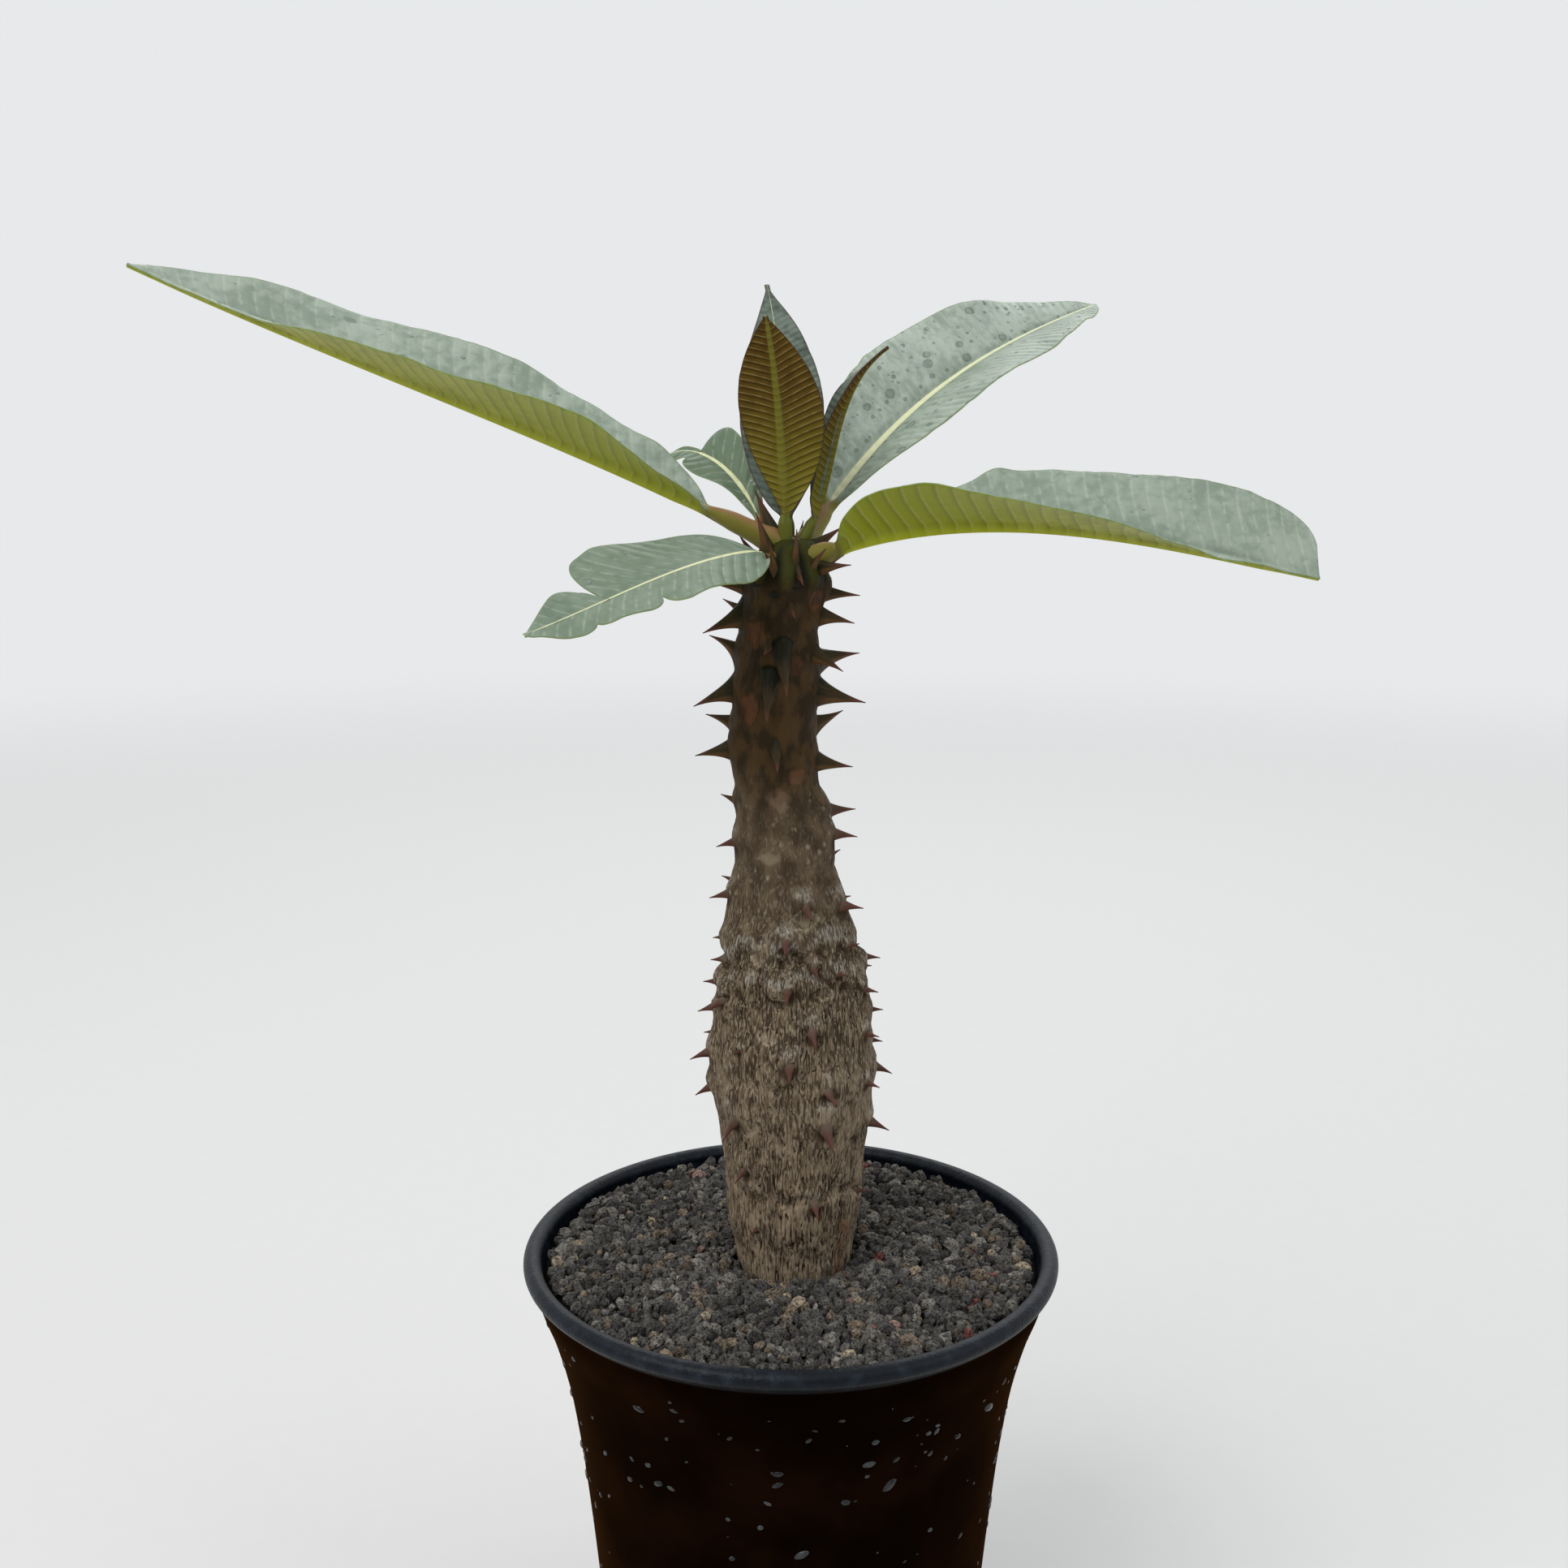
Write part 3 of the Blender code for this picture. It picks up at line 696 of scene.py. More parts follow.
@dataclass(frozen=True)
class BarkFinish:
    """Bark with upright fissures, grey and furrowed at the foot, smooth and dark in the crown."""

    ridge: Colour = (0.214, 0.160, 0.106)
    ridge_dim: Colour = (0.095, 0.066, 0.041)
    middle: Colour = (0.106, 0.076, 0.047)
    middle_dim: Colour = (0.050, 0.034, 0.020)
    crown: Colour = (0.054, 0.030, 0.0100)
    crown_dim: Colour = (0.022, 0.0140, 0.0055)
    fresh: Colour = (0.030, 0.032, 0.004)
    # painted shade between the feet of the stalks
    fresh_shade: Colour = (0.0060, 0.0062, 0.0020)
    fissure: Colour = (0.020, 0.0120, 0.0068)
    crest: Colour = (0.36, 0.30, 0.215)
    # pale wax, and a painted highlight on spine mounds and fold lips
    wax_and_highlight: Colour = (0.30, 0.275, 0.235)
    # pale grey in the crown: wax and a painted highlight
    crown_wax_and_highlight: Colour = (0.095, 0.090, 0.074)
    scar: Colour = (0.26, 0.21, 0.145)
    crown_scar: Colour = (0.115, 0.045, 0.020)
    rust: Colour = (0.17, 0.085, 0.048)
    # painted shade, under the spines and in the folds
    hollow: Colour = (0.034, 0.019, 0.010)
    patch: float = 3.2 * MM  # this and the next three are sizes of patterns
    thread: float = 1.5 * MM
    fleck: float = 0.42 * MM
    speckle: float = 2.1 * MM
    dark_top: tuple = (0.585, 0.70)  # where the dark crown starts and is full, up the trunk
    depth: float = 0.34 * MM

    def material(self) -> Material:
        """The bark's material.

        It reads the fields crown, 0 at the foot and 1 at the top; old, 1 where the bark is
        furrowed; gap, the distance from a fissure in millimetres; lobe, 1 on the foot of a
        stalk; and four more, each 1 where its mark is: wax with a painted highlight, scars,
        rust, and a hollow with painted shade.

        Returns:
            The material.
        """
        n = Nodes("bark")
        crown, old, scar, gap = (n.field(key) for key in ("crown", "old", "scar", "gap"))
        place = n.place()
        patch = n.noise(n.place((1, 1, 0.6)), self.patch, 4)
        height = crown + (n.noise(place, 7 * MM, 3) - 0.5) * 0.10
        top = height.rise(*self.dark_top)
        swirl = n.shifted(n.place((1, 1, 0.16)), self.thread, 0.7 * MM)
        grain = abs((n.noise(swirl, self.thread, 1) * 5.0).fraction() - 0.5)
        flecks = n.noise(n.place((1, 1, 0.30)), self.fleck, 3)
        furrowed = (0.15 + 0.85 * old) * (1 - top)
        thread = grain.rise(0.17, 0.05) * patch.rise(0.72, 0.50) * (0.65 + 0.35 * flecks.rise(0.36, 0.58))
        fissure = (gap.rise(0.30, 0.10).most(thread * 0.85)) * furrowed
        crest = gap.rise(0.16, 0.30) * gap.rise(0.75, 0.40)
        crest = crest.most(grain.rise(0.28, 0.44) * 0.7) * old * flecks.rise(0.38, 0.62)
        low = n.blend(patch.rise(0.35, 0.62), self.ridge_dim, self.ridge)
        mid = n.blend(patch.rise(0.35, 0.65), self.middle_dim, self.middle)
        high = n.blend(patch.rise(0.40, 0.62), self.crown_dim, self.crown)
        colour = n.blend(height.rise(0.10, 0.42), low, mid)
        colour = n.blend(flecks.rise(0.54, 0.76) * 0.35, colour, self.wax_and_highlight)
        colour = n.blend(crest * 0.50, colour, self.crest)
        jogged = n.shifted(n.place((1, 1, 0.8)), 2 * MM, 1.6 * MM)
        dots = n.cells(jogged, self.speckle).rise(0.36, 0.14)
        dotted = dots * height.rise(0.36, 0.48) * n.noise(place, 5 * MM).rise(0.44, 0.58)
        colour = n.blend(dotted * flecks.rise(0.3, 0.55) * 0.48, colour, self.crest)
        colour = n.blend(top, colour, high)
        # painted shade under each spine and in the folds
        colour = n.blend(n.field("hollow").rise(0.10, 0.75) * 0.80, colour, self.hollow)
        colour = n.blend(n.field("rust").rise(0.2, 0.8) * patch.rise(0.35, 0.6) * 0.7, colour, self.rust)
        worn = scar.rise(0.15, 0.95) * (0.35 + 0.65 * patch.rise(0.34, 0.58))
        colour = n.blend(worn * top * 0.62, colour, self.crown_scar)
        colour = n.blend(worn * (1 - top) * 0.42, colour, self.scar)
        ring = scar.rise(0.15, 0.45) * scar.rise(0.95, 0.60) * height.rise(0.54, 0.46)
        colour = n.blend(ring * (0.08 + 0.50 * flecks.rise(0.35, 0.6)), colour, self.crest)
        # wax with a painted highlight: pale over spine mounds and on the lips of folds
        wax_highlight_colour = n.blend(top, self.wax_and_highlight, self.crown_wax_and_highlight)
        wax_highlight_share = n.field("wax_and_highlight").rise(0.08, 0.85) * (0.30 + 0.90 * flecks.rise(0.38, 0.62))
        colour = n.blend(wax_highlight_share * 0.80, colour, wax_highlight_colour)
        # green on the feet of the stalks, painted shade between them
        stalks = n.blend(n.field("lobe").rise(0.35, 1.0), self.fresh_shade, self.fresh)
        colour = n.blend(crown.rise(0.90, 0.94), colour, stalks)
        colour = n.blend(fissure * 0.92, colour, self.fissure)
        relief = (1 - fissure) * 0.7 + flecks * 0.35 + patch * 0.3
        return n.finished(
            Base_Color=colour,
            Roughness=0.90 - 0.30 * top + 0.08 * fissure,
            Normal=n.relief(relief, self.depth),
            Specular_IOR_Level=0.09,
        )


@dataclass(frozen=True)
class SpineFinish:
    """Horny spines: broad and olive at the root in the crown, red-brown and hard at the tip."""

    root_old: Colour = (0.105, 0.075, 0.052)
    flank_old: Colour = (0.085, 0.038, 0.027)
    edge_old: Colour = (0.105, 0.042, 0.029)
    root_crown: Colour = (0.0105, 0.0100, 0.0045)
    flank_crown: Colour = (0.036, 0.025, 0.009)
    edge_crown: Colour = (0.120, 0.057, 0.020)
    root_fresh: Colour = (0.017, 0.020, 0.005)
    tip: Colour = (0.112, 0.040, 0.027)
    point: Colour = (0.040, 0.012, 0.010)
    # pale wax, and a painted highlight on the upper side
    wax_and_highlight: Colour = (0.23, 0.215, 0.195)
    depth: float = 0.14 * MM

    def material(self) -> Material:
        """The spines' material.

        It reads the fields along, 0 to 1 from root to tip; crown, 0 to 1 up the trunk; under,
        1 on the lower side; and streak, a place in the grain of the horn.

        Returns:
            The material.
        """
        n = Nodes("spine_horn")
        along, crown, under = n.field("along"), n.field("crown"), n.field("under")
        top, fresh = crown.rise(0.58, 0.68), crown.rise(0.925, 0.955)
        streak = n.noise(n.field("streak", "Vector"), 0.09, 3)
        root = n.blend(fresh, n.blend(top, self.root_old, self.root_crown), self.root_fresh)
        flank = n.blend(top, self.flank_old, self.flank_crown)
        edge = n.blend(top, self.edge_old, self.edge_crown)
        wavy = along + (streak - 0.5) * 0.25
        grown = wavy - 0.20 * fresh - 0.10 * (1 - top)
        colour = n.blend(grown.rise(0.16, 0.50), root, flank)
        colour = n.blend(under.rise(0.5, 1.0) * grown.rise(0.12, 0.45) * 0.75, colour, edge)
        colour = n.blend(wavy.rise(0.62, 0.92), colour, self.tip)
        # pale streaks near the root on the upper side only: wax and a painted highlight
        pale = streak.rise(0.50, 0.70) * along.rise(0.55, 0.15) * (1 - under)
        colour = n.blend(pale * (0.34 - 0.28 * top), colour, self.wax_and_highlight)
        colour = n.blend(along.rise(0.88, 1.0) * 0.7, colour, self.point)
        return n.finished(
            Base_Color=colour,
            Roughness=0.52 - 0.12 * along,
            Normal=n.relief(streak, self.depth),
            Specular_IOR_Level=0.12,
        )


@dataclass(frozen=True)
class LeafFinish:
    """A leaf's two faces, its midrib, side veins, margin, stalk and the marks of dried drops."""

    name: str
    upper: Colour
    upper_dim: Colour
    upper_deep: Colour
    under: Colour
    under_dim: Colour
    # painted shade beside the side veins, below
    under_vein_shade: Colour
    under_foot: Colour
    rib_upper: Colour
    rib_under: Colour
    vein_upper: Colour
    vein_under: Colour
    margin_upper: Colour
    margin_under: Colour
    stalk: Colour
    stalk_red: Colour
    spot: Colour
    spacing: float  # between side veins
    arch: float  # how soon a side vein turns outwards, for each tenth of a metre
    vein: float  # half width of a side vein's line, in spacings
    contrast: float  # of the veins below
    vein_depth: float
    bloom: float  # roughness of the waxy face
    gloss: float
    cloud: float = 0.13  # this and the next two are sizes of patterns, in tenths of a metre
    mottle: float = 0.022
    fibre: float = 0.011

    def material(self) -> Material:
        """The leaf's material.

        It reads the fields upper, 1 on the upper face; rib, the midrib's half width; margin, 1 at
        the edge; stalk, 1 at the foot; along, 0 to 1 from foot to tip; slant, how far a side
        vein goes forward for each step out; deep, the share of a deeper green; and wet, how
        much the blade is spotted. Its UV map Blade holds the distances from the midrib and
        from the foot. These, and rib, are in tenths of a metre.

        Returns:
            The material.
        """
        n = Nodes(self.name)
        margin, stalk, along = n.field("margin"), n.field("stalk"), n.field("along")
        upper = n.field("upper").rise(0.35, 0.65)
        blade = n.add("ShaderNodeUVMap", {"uv_map": "Blade"})
        out, length = abs(n.part(blade, "X")), n.part(blade, "Y")
        rib = (out / n.field("rib")).rise(1.35, 0.75)
        sway = (n.noise(blade, 0.10, 1) - 0.5) * 0.35
        lead = out * (1 - out * self.arch) * n.field("slant")
        phase = ((length - lead) / (self.spacing * 10) + sway).fraction()
        line = abs(phase - 0.5)
        vein, quilt = line.rise(self.vein, 0.0) * (1 - stalk), line.rise(0.5, 0.0) * (1 - stalk)
        across = n.add("ShaderNodeMapping", inputs={"Vector": blade, "Scale": (1.0, 0.32, 1.0)})
        cloud, fibre = n.noise(blade, self.cloud, 4), n.noise(across, self.fibre, 3)
        mottle = n.noise(n.shifted(blade, 0.04, 0.03), self.mottle, 4)
        dull = (cloud * 0.55 + mottle * 0.45).rise(0.38, 0.60)
        top = n.blend(n.field("deep"), n.blend(dull, self.upper_dim, self.upper), self.upper_deep)
        top = n.blend(vein * 0.30 * mottle.rise(0.35, 0.6), top, self.vein_upper)
        spot = self.spots(n, blade) * (1 - stalk) * (1 - rib)
        top = n.blend(spot * 0.72, top, self.spot)
        low = n.blend(dull, self.under_dim, self.under)
        low = n.blend(along.rise(0.75, 0.05), low, self.under_foot)
        # painted shade on the foot side of each side vein, below
        low = n.blend(phase.rise(0.05, 0.46) * phase.rise(0.52, 0.46) * 0.5, low, self.under_vein_shade)
        seen = vein * (1 - rib) * self.contrast * (0.4 + 0.6 * mottle.rise(0.3, 0.6))
        low = n.blend(seen, low, self.vein_under)
        colour = n.blend(upper, low, top)
        costa = n.blend(upper, self.rib_under, self.rib_upper)
        colour = n.blend(rib * (0.70 + 0.40 * fibre), colour, costa)
        edge = n.blend(upper, self.margin_under, self.margin_upper)
        colour = n.blend(margin.rise(0.55, 0.98) * (0.45 + 0.6 * mottle), colour, edge)
        petiole = n.blend(upper * out.rise(0.0042, 0.0012) * 0.85, self.stalk, self.stalk_red)
        colour = n.blend(stalk.rise(0.0, 0.45), colour, petiole)
        raised = (quilt * 0.8 + vein * 0.3) * (0.5 - upper) + fibre * 0.14 + mottle * 0.12
        return n.finished(
            Base_Color=colour,
            Roughness=self.bloom + 0.20 * (mottle - 0.5) - 0.24 * spot,
            Normal=n.relief(raised - spot * 0.08, self.vein_depth),
            Specular_IOR_Level=self.gloss,
        )

    def spots(self, n: Nodes, blade: Value) -> Value:
        """Marks of dried drops.

        They are discs about the centres of cells of two sizes, of which the field wet keeps a
        share, with a paler middle.

        Args:
            n: The material's nodes.
            blade: Places on the blade.

        Returns:
            1 on a mark.
        """
        oval = n.add("ShaderNodeMapping", inputs={"Vector": blade, "Scale": (1.0, 0.66, 1.0)})
        jogged = n.shifted(oval, 0.02, 0.008)
        found = []
        for size, least, spread, share in ((0.056, 0.08, 0.15, 0.60), (0.024, 0.08, 0.14, 0.34)):
            chance = n.part(n.cells(jogged, size, "Color", "2D"), "X")
            reach = (chance * 7.3).fraction() * spread + least
            away = n.cells(jogged, size, space="2D") - reach
            disc = away.rise(0.03, -0.05) * (1 - 0.2 * away.rise(-0.04, -0.10))
            found.append(disc * (n.field("wet") * share - chance).rise(-0.01, 0.01))
        return found[0].most(found[1]) * n.field("upper")


ADULT_LEAF = LeafFinish(
    name="leaf_glaucous",
    upper=(0.370, 0.432, 0.365),
    upper_dim=(0.245, 0.300, 0.245),
    upper_deep=(0.090, 0.145, 0.082),
    under=(0.340, 0.350, 0.056),
    under_dim=(0.230, 0.245, 0.022),
    under_vein_shade=(0.135, 0.170, 0.005),
    under_foot=(0.255, 0.285, 0.006),
    rib_upper=(0.74, 0.75, 0.46),
    rib_under=(0.430, 0.460, 0.020),
    vein_upper=(0.46, 0.52, 0.44),
    vein_under=(0.42, 0.43, 0.150),
    margin_upper=(0.180, 0.240, 0.120),
    margin_under=(0.260, 0.360, 0.050),
    stalk=(0.145, 0.130, 0.014),
    stalk_red=(0.250, 0.125, 0.060),
    spot=(0.085, 0.130, 0.088),
    spacing=3.2 * MM,
    arch=2.5,
    vein=0.17,
    contrast=0.33,
    vein_depth=0.30 * MM,
    bloom=0.50,
    gloss=0.26,
)
YOUNG_LEAF = LeafFinish(
    name="leaf_bronze",
    upper=(0.150, 0.190, 0.160),
    upper_dim=(0.070, 0.092, 0.074),
    upper_deep=(0.060, 0.100, 0.050),
    under=(0.088, 0.048, 0.002),
    under_dim=(0.062, 0.033, 0.0015),
    under_vein_shade=(0.038, 0.019, 0.001),
    under_foot=(0.145, 0.130, 0.008),
    rib_upper=(0.45, 0.52, 0.28),
    rib_under=(0.140, 0.128, 0.016),
    vein_upper=(0.26, 0.32, 0.24),
    vein_under=(0.270, 0.205, 0.070),
    margin_upper=(0.085, 0.050, 0.042),
    margin_under=(0.060, 0.026, 0.016),
    stalk=(0.098, 0.106, 0.014),
    stalk_red=(0.125, 0.120, 0.025),
    spot=(0.060, 0.080, 0.065),
    spacing=1.42 * MM,
    arch=2.0,
    vein=0.12,
    contrast=0.85,
    vein_depth=0.22 * MM,
    bloom=0.46,
    gloss=0.12,
)


# ------------------------ pot


@dataclass
class Pot:
    """The flared pot with its rolled lip and drain holes."""

    height: float = 125.0 * MM
    tube: float = 2.0 * MM  # radius of the rolled lip
    rim_radius: float = 58.0 * MM  # to the middle of the lip
    wall: float = 2.0 * MM
    base: float = 3.0 * MM
    foot_round: float = 1.5 * MM
    sides: int = 192
    outline: tuple = (  # depth below the middle of the lip, outer radius
        (0.0, 57.6), (6.0, 57.0), (14.0, 54.2), (26.0, 50.9),
        (40.0, 48.5), (60.0, 46.1), (82.0, 44.0), (123.0, 40.9),
    )
    rows: tuple = ((1.6, 96.0, 27), (100.0, 119.6, 16))  # of the outside: levels, and how many
    rows_inside: tuple = (120.2, 3.0, 26)
    drains: int = 6
    drain_sides: int = 24
    drain_radius: float = 3.5 * MM
    drain_circle: float = 24.0 * MM
    sharp: float = 50.0  # degrees between faces at a sharp edge

    @property
    def rim_level(self) -> float:
        """Level of the middle of the lip."""
        return self.height - self.tube

    def outer(self, level: Array | float) -> Array:
        """The wall's outer radius at levels above the base, on the smooth curve of the outline."""
        depth = (self.rim_level - np.atleast_1d(level)) / MM
        return smooth(self.outline, depth)[:, 0] * MM

    def section(self) -> tuple[Array, Array]:
        """Half section: from under the base up the outside, over the lip and down the inside.

        Returns:
            Radius and level of each point, and 1 for each point on the lip or inside it.
        """
        corner = (self.outer(0.0)[0] - self.foot_round, self.foot_round)
        foot = corner + self.foot_round * circle(np.radians(np.linspace(-90.0, -20.0, 5)))
        up = np.concatenate([np.linspace(*row) for row in self.rows]) * MM
        turn = np.radians(np.linspace(-68.0, 205.0, 26))
        lip = (self.rim_radius, self.rim_level) + self.tube * circle(turn)
        down = np.linspace(*self.rows_inside) * MM
        outside = np.stack([self.outer(up), up], 1)
        inside = np.stack([self.outer(down) - self.wall, down], 1)
        points = np.vstack([[(0.0, 0.0)], foot, outside, lip, inside, [(0.0, self.base)]])
        return points, (np.arange(len(points)) > len(foot) + len(outside)).astype(float)

    def build(self) -> None:
        """Turns the section round the axis and drills it."""
        section, on_lip = self.section()
        piece = make_piece("pot_body", *turned(section, self.sides))
        lip = np.concatenate([np.repeat(on_lip[1:-1], self.sides), on_lip[[0, -1]]])
        paint_values(piece, lip=lip)
        self.drill(piece)
        piece.data.set_sharp_from_angle(angle=math.radians(self.sharp))
        settle(piece, PotFinish().material(), Slot.POT, "pot")

    def drill(self, piece: Piece) -> None:
        """Cuts the drain holes: round cutters on a circle, each through the base.

        Args:
            piece: The pot's piece.
        """
        sides = self.drain_sides
        centres = self.drain_circle * circle(np.arange(self.drains) * TAU / self.drains)
        plan = self.drain_radius * circle(np.arange(sides) * TAU / sides)
        ends = np.repeat((-self.base, 2 * self.base), sides)
        ring = np.arange(sides)
        shape = [grid_faces(2, sides), ring[::-1][None], ring[None] + sides]
        points, faces = [], []
        for i, centre in enumerate(centres):
            points.append(np.column_stack([np.tile(plan, (2, 1)) + centre, ends]))
            faces += [array + 2 * sides * i for array in shape]
        cutter = make_piece("drain_cutter", np.vstack(points), faces)
        cut = piece.modifiers.new("drains", "BOOLEAN")
        cut.operation = "DIFFERENCE"
        cut.object = cutter
        graph = bpy.context.evaluated_depsgraph_get()
        mesh = bpy.data.meshes.new_from_object(piece.evaluated_get(graph))
        piece.modifiers.clear()
        piece.data = mesh
        bpy.data.objects.remove(cutter)


# ------------------------ drops of water


def dome(sides: int = 10, rings: int = 3) -> tuple[Array, list[Array]]:
    """A low-faced dome of radius 1, whose foot dips a little under the XY plane.

    Its rings rise by equal angles from -0.25 radians to the pole.

    Args:
        sides: Points round.
        rings: Rings below the pole.

    Returns:
        Points, and arrays of faces.
    """
    rise = np.linspace(-0.25, math.pi / 2, rings + 1)[:-1, None]
    turn = np.arange(sides) * TAU / sides
    points = about_axis(np.cos(rise), turn, np.sin(rise)).reshape(-1, 3)
    ring = np.arange(sides)
    faces = [
        grid_faces(rings, sides),
        fan_faces(ring + (rings - 1) * sides, len(points), True),
        ring[::-1][None],
    ]
    return np.vstack([points, (0.0, 0.0, 1.0)]), faces


def scatter(points: Array, faces: list[Array], centres: Array, frames: Array) -> tuple[Array, list[Array]]:
    """Copies of a small shape, each at a centre with its axes turned and sized.

    Args:
        points: The shape's points.
        faces: Its arrays of faces.
        centres: One row for each copy.
        frames: For each copy, three rows: where its X, Y and Z axes go, with their sizes.

    Returns:
        Points and faces of all the copies.
    """
    placed = centres[:, None] + np.einsum("pk,nkj->npj", points, frames)
    return placed.reshape(-1, 3), repeated(faces, len(centres), len(points))


@dataclass
class PotDrops:
    """Drops that cling to the pot's outer wall, flat, and drawn out downwards."""

    pot: Pot
    count: int = 620
    levels: tuple = (4 * MM, 115 * MM)
    sizes: tuple = (0.16, 1.05)  # least and most half width, in millimetres
    stretch: tuple = (1.1, 2.1)  # of the half length over the half width
    flatness: float = 0.50
    seed: int = 5

    def build(self) -> None:
        """Scatters domes over the wall, each flattened against it and leaning a little."""
        rng = np.random.default_rng(self.seed)
        turn = rng.uniform(0, TAU, self.count)
        level = rng.uniform(*self.levels, self.count)
        size = rng.gamma(2.6, 0.17, self.count).clip(*self.sizes) * MM
        stretch = rng.uniform(*self.stretch, self.count)
        lean = rng.normal(1.75, 0.5, self.count)
        radius = self.pot.outer(level)
        slope = (self.pot.outer(level + MM) - radius) / MM
        outward = unit(about_axis(1.0, turn, -slope))
        round_about = np.stack([-np.sin(turn), np.cos(turn), 0 * turn], 1)
        upward = np.cross(outward, round_about)
        across = round_about * np.cos(lean)[:, None] + upward * np.sin(lean)[:, None]
        along = np.cross(outward, across)
        sizes = np.stack([size, size * stretch, size * self.flatness], 1)
        frames = np.stack([across, along, outward], 1) * sizes[..., None]
        points, faces = scatter(*dome(), about_axis(radius, turn, level), frames)
        piece = make_piece("pot_drops", points, faces)
        finish = WaterFinish("drop_on_pot", (0.007, 0.007, 0.008), (0.062, 0.068, 0.075), 0.72)
        settle(piece, finish.material(), Slot.POT)


# ------------------------ trunk


@dataclass
class TrunkForm:
    """The trunk's smooth form, which the bark, spines, leaves and gravel share."""

    soil_level: float = 122.6 * MM
    stops: tuple = (  # height above the gravel, radius, lean of the axis to the right
        (-46.0, 6.5, 0.9), (-30.0, 10.0, 0.9), (-8.0, 12.3, 0.9), (0.0, 12.9, 0.9),
        (10.0, 14.6, 0.9), (20.0, 15.2, 0.8), (35.0, 16.9, 0.5), (46.0, 17.8, 0.3),
        (58.0, 16.8, 0.2), (70.0, 14.8, -0.4), (84.0, 11.8, -1.0), (101.0, 9.6, -2.0),
        (110.0, 8.5, -3.6), (128.0, 7.8, -3.4), (145.0, 7.4, -2.2), (151.0, 7.6, -1.0),
        (154.0, 5.8, -0.6), (156.5, 4.2, -0.4), (158.6, 2.6, 0.0), (159.6, 0.9, 0.2),
    )
    folds: tuple = (  # height, swell and half height
        (75.0, 0.5, 3.5), (65.0, 0.4, 3.5), (42.0, 0.4, 4.0),
    )
    lump: float = 0.02  # how uneven it is round about
    crown_level: float = 163.0 * MM  # where the leaves part

    @property
    def top(self) -> float:
        """Height of the trunk's top."""
        return self.stops[-1][0] * MM

    def radius_and_lean(self, height: Array | float) -> tuple[Array, Array]:
        """Radius of the trunk and lean of its axis at heights."""
        radius, lean = (smooth(self.stops, np.atleast_1d(height) / MM) * MM).T
        return radius, lean

    def reach(self, height: Array, turn: Array) -> Array:
        """Distance of the surface from the axis.

        It is the radius, plus a bell for each fold, times 1 + lump (sin(2a + h/9mm) +
        0.7 sin(3a - h/14mm)), for a height h and a direction a.

        Args:
            height: Heights.
            turn: Directions, in radians.

        Returns:
            Distances, shaped as the two together.
        """
        height = np.asarray(height, float)
        radius = self.radius_and_lean(height.ravel())[0].reshape(height.shape)
        for fold, swell, half in self.folds:
            radius = radius + swell * MM * hump(height - fold * MM, half * MM)
        lumps = np.sin(2 * turn + height / (9 * MM)) + 0.7 * np.sin(3 * turn - height / (14 * MM))
        return radius * (1 + self.lump * lumps)

    def crown_share(self, height: Array) -> Array:
        """0 at the gravel and 1 where the leaves part."""
        return np.clip(height / self.crown_level, 0, 1)


@dataclass(frozen=True)
class Spine:
    """One spine: height and bearing of its root, length in millimetres, and rise in degrees."""

    height: float
    bearing: float
    length: float
    rise: float


SPINE_ROWS = (  # height, bearing, length and rise; the last rows stand among the stalks
    (148, 5, 8.5, 3), (147, 40, 8, 6), (143.5, -10, 8.6, -4), (136, -26, 8.5, -20),
    (133, 22, 12, 14), (127.5, -5, 11.6, -6), (119.5, 25, 9, 24), (112.5, -6, 9, -2),
    (101, 12, 7, 6), (96.5, -10, 6.2, 2), (90, 28, 3.2, 30), (82, -28, 6.2, 4),
    (80.5, 25, 3, 10), (73, -30, 3, 25), (68, 8, 4.4, 0), (68, -48, 2.8, 10),
    (65.5, 14, 2.2, 0), (63, -20, 3.6, 0), (55.5, 12, 3.6, 0), (54, -28, 4, 0),
    (49.5, 2, 2.6, -6), (43, 6, 5.2, -18), (43, -30, 3.6, -4), (32.5, -14, 5.5, -16),
    (16.5, -20, 2.2, 5), (149.5, 186, 8, 12), (143.5, 160, 6.5, 35), (143.5, 196, 10, -14),
    (135, 172, 8, 36), (127.5, 190, 10, -12), (120, 170, 7, 22), (115, 184, 8.5, -4),
    (103, 168, 4.2, 26), (95, 192, 5, -6), (85, 165, 3, 25), (83.5, 187, 5.2, -6),
    (73, 178, 2, 0), (68.5, 184, 2, 0), (63, 180, 3, 5), (61, 208, 4, -16),
    (57.5, 182, 4.2, -10), (51, 175, 2.6, 0), (48, 190, 5.4, -12), (39.5, 184, 4.8, -22),
    (36, 224, 6, -40), (24, 226, 4.2, -30), (146.5, -78, 6.5, -20), (138.5, -102, 6.5, -15),
    (134.5, -82, 10, -38), (128.5, -96, 9.5, -36), (116, -86, 7.5, -28), (83, -72, 5, -20),
    (76, -92, 5, -20), (70, -70, 3.8, -15), (66, -92, 5, -20), (57, -76, 5.5, -25),
    (50, -92, 5.5, -22), (44, -66, 5, -20), (36, -68, 7, -34), (17, -74, 4.2, -25),
    (10, -126, 2, 0), (52, -128, 2.4, 0),
    (154.5, 226, 11.5, 74), (157.5, 152, 13, 74), (154, -80, 8.5, 72), (154, -76, 7.5, -22),
    (157, 8, 9, 40), (153.5, -30, 9, 12), (154, 112, 9, 62), (156, 72, 9, 58), (152.5, 30, 8, 30),
    (152, 200, 8, 42), (151, 96, 8, 10), (152.5, -110, 8, 66), (153, -46, 7, 50), (153.5, 246, 7, 40),
    (154, 170, 8, 58),
)


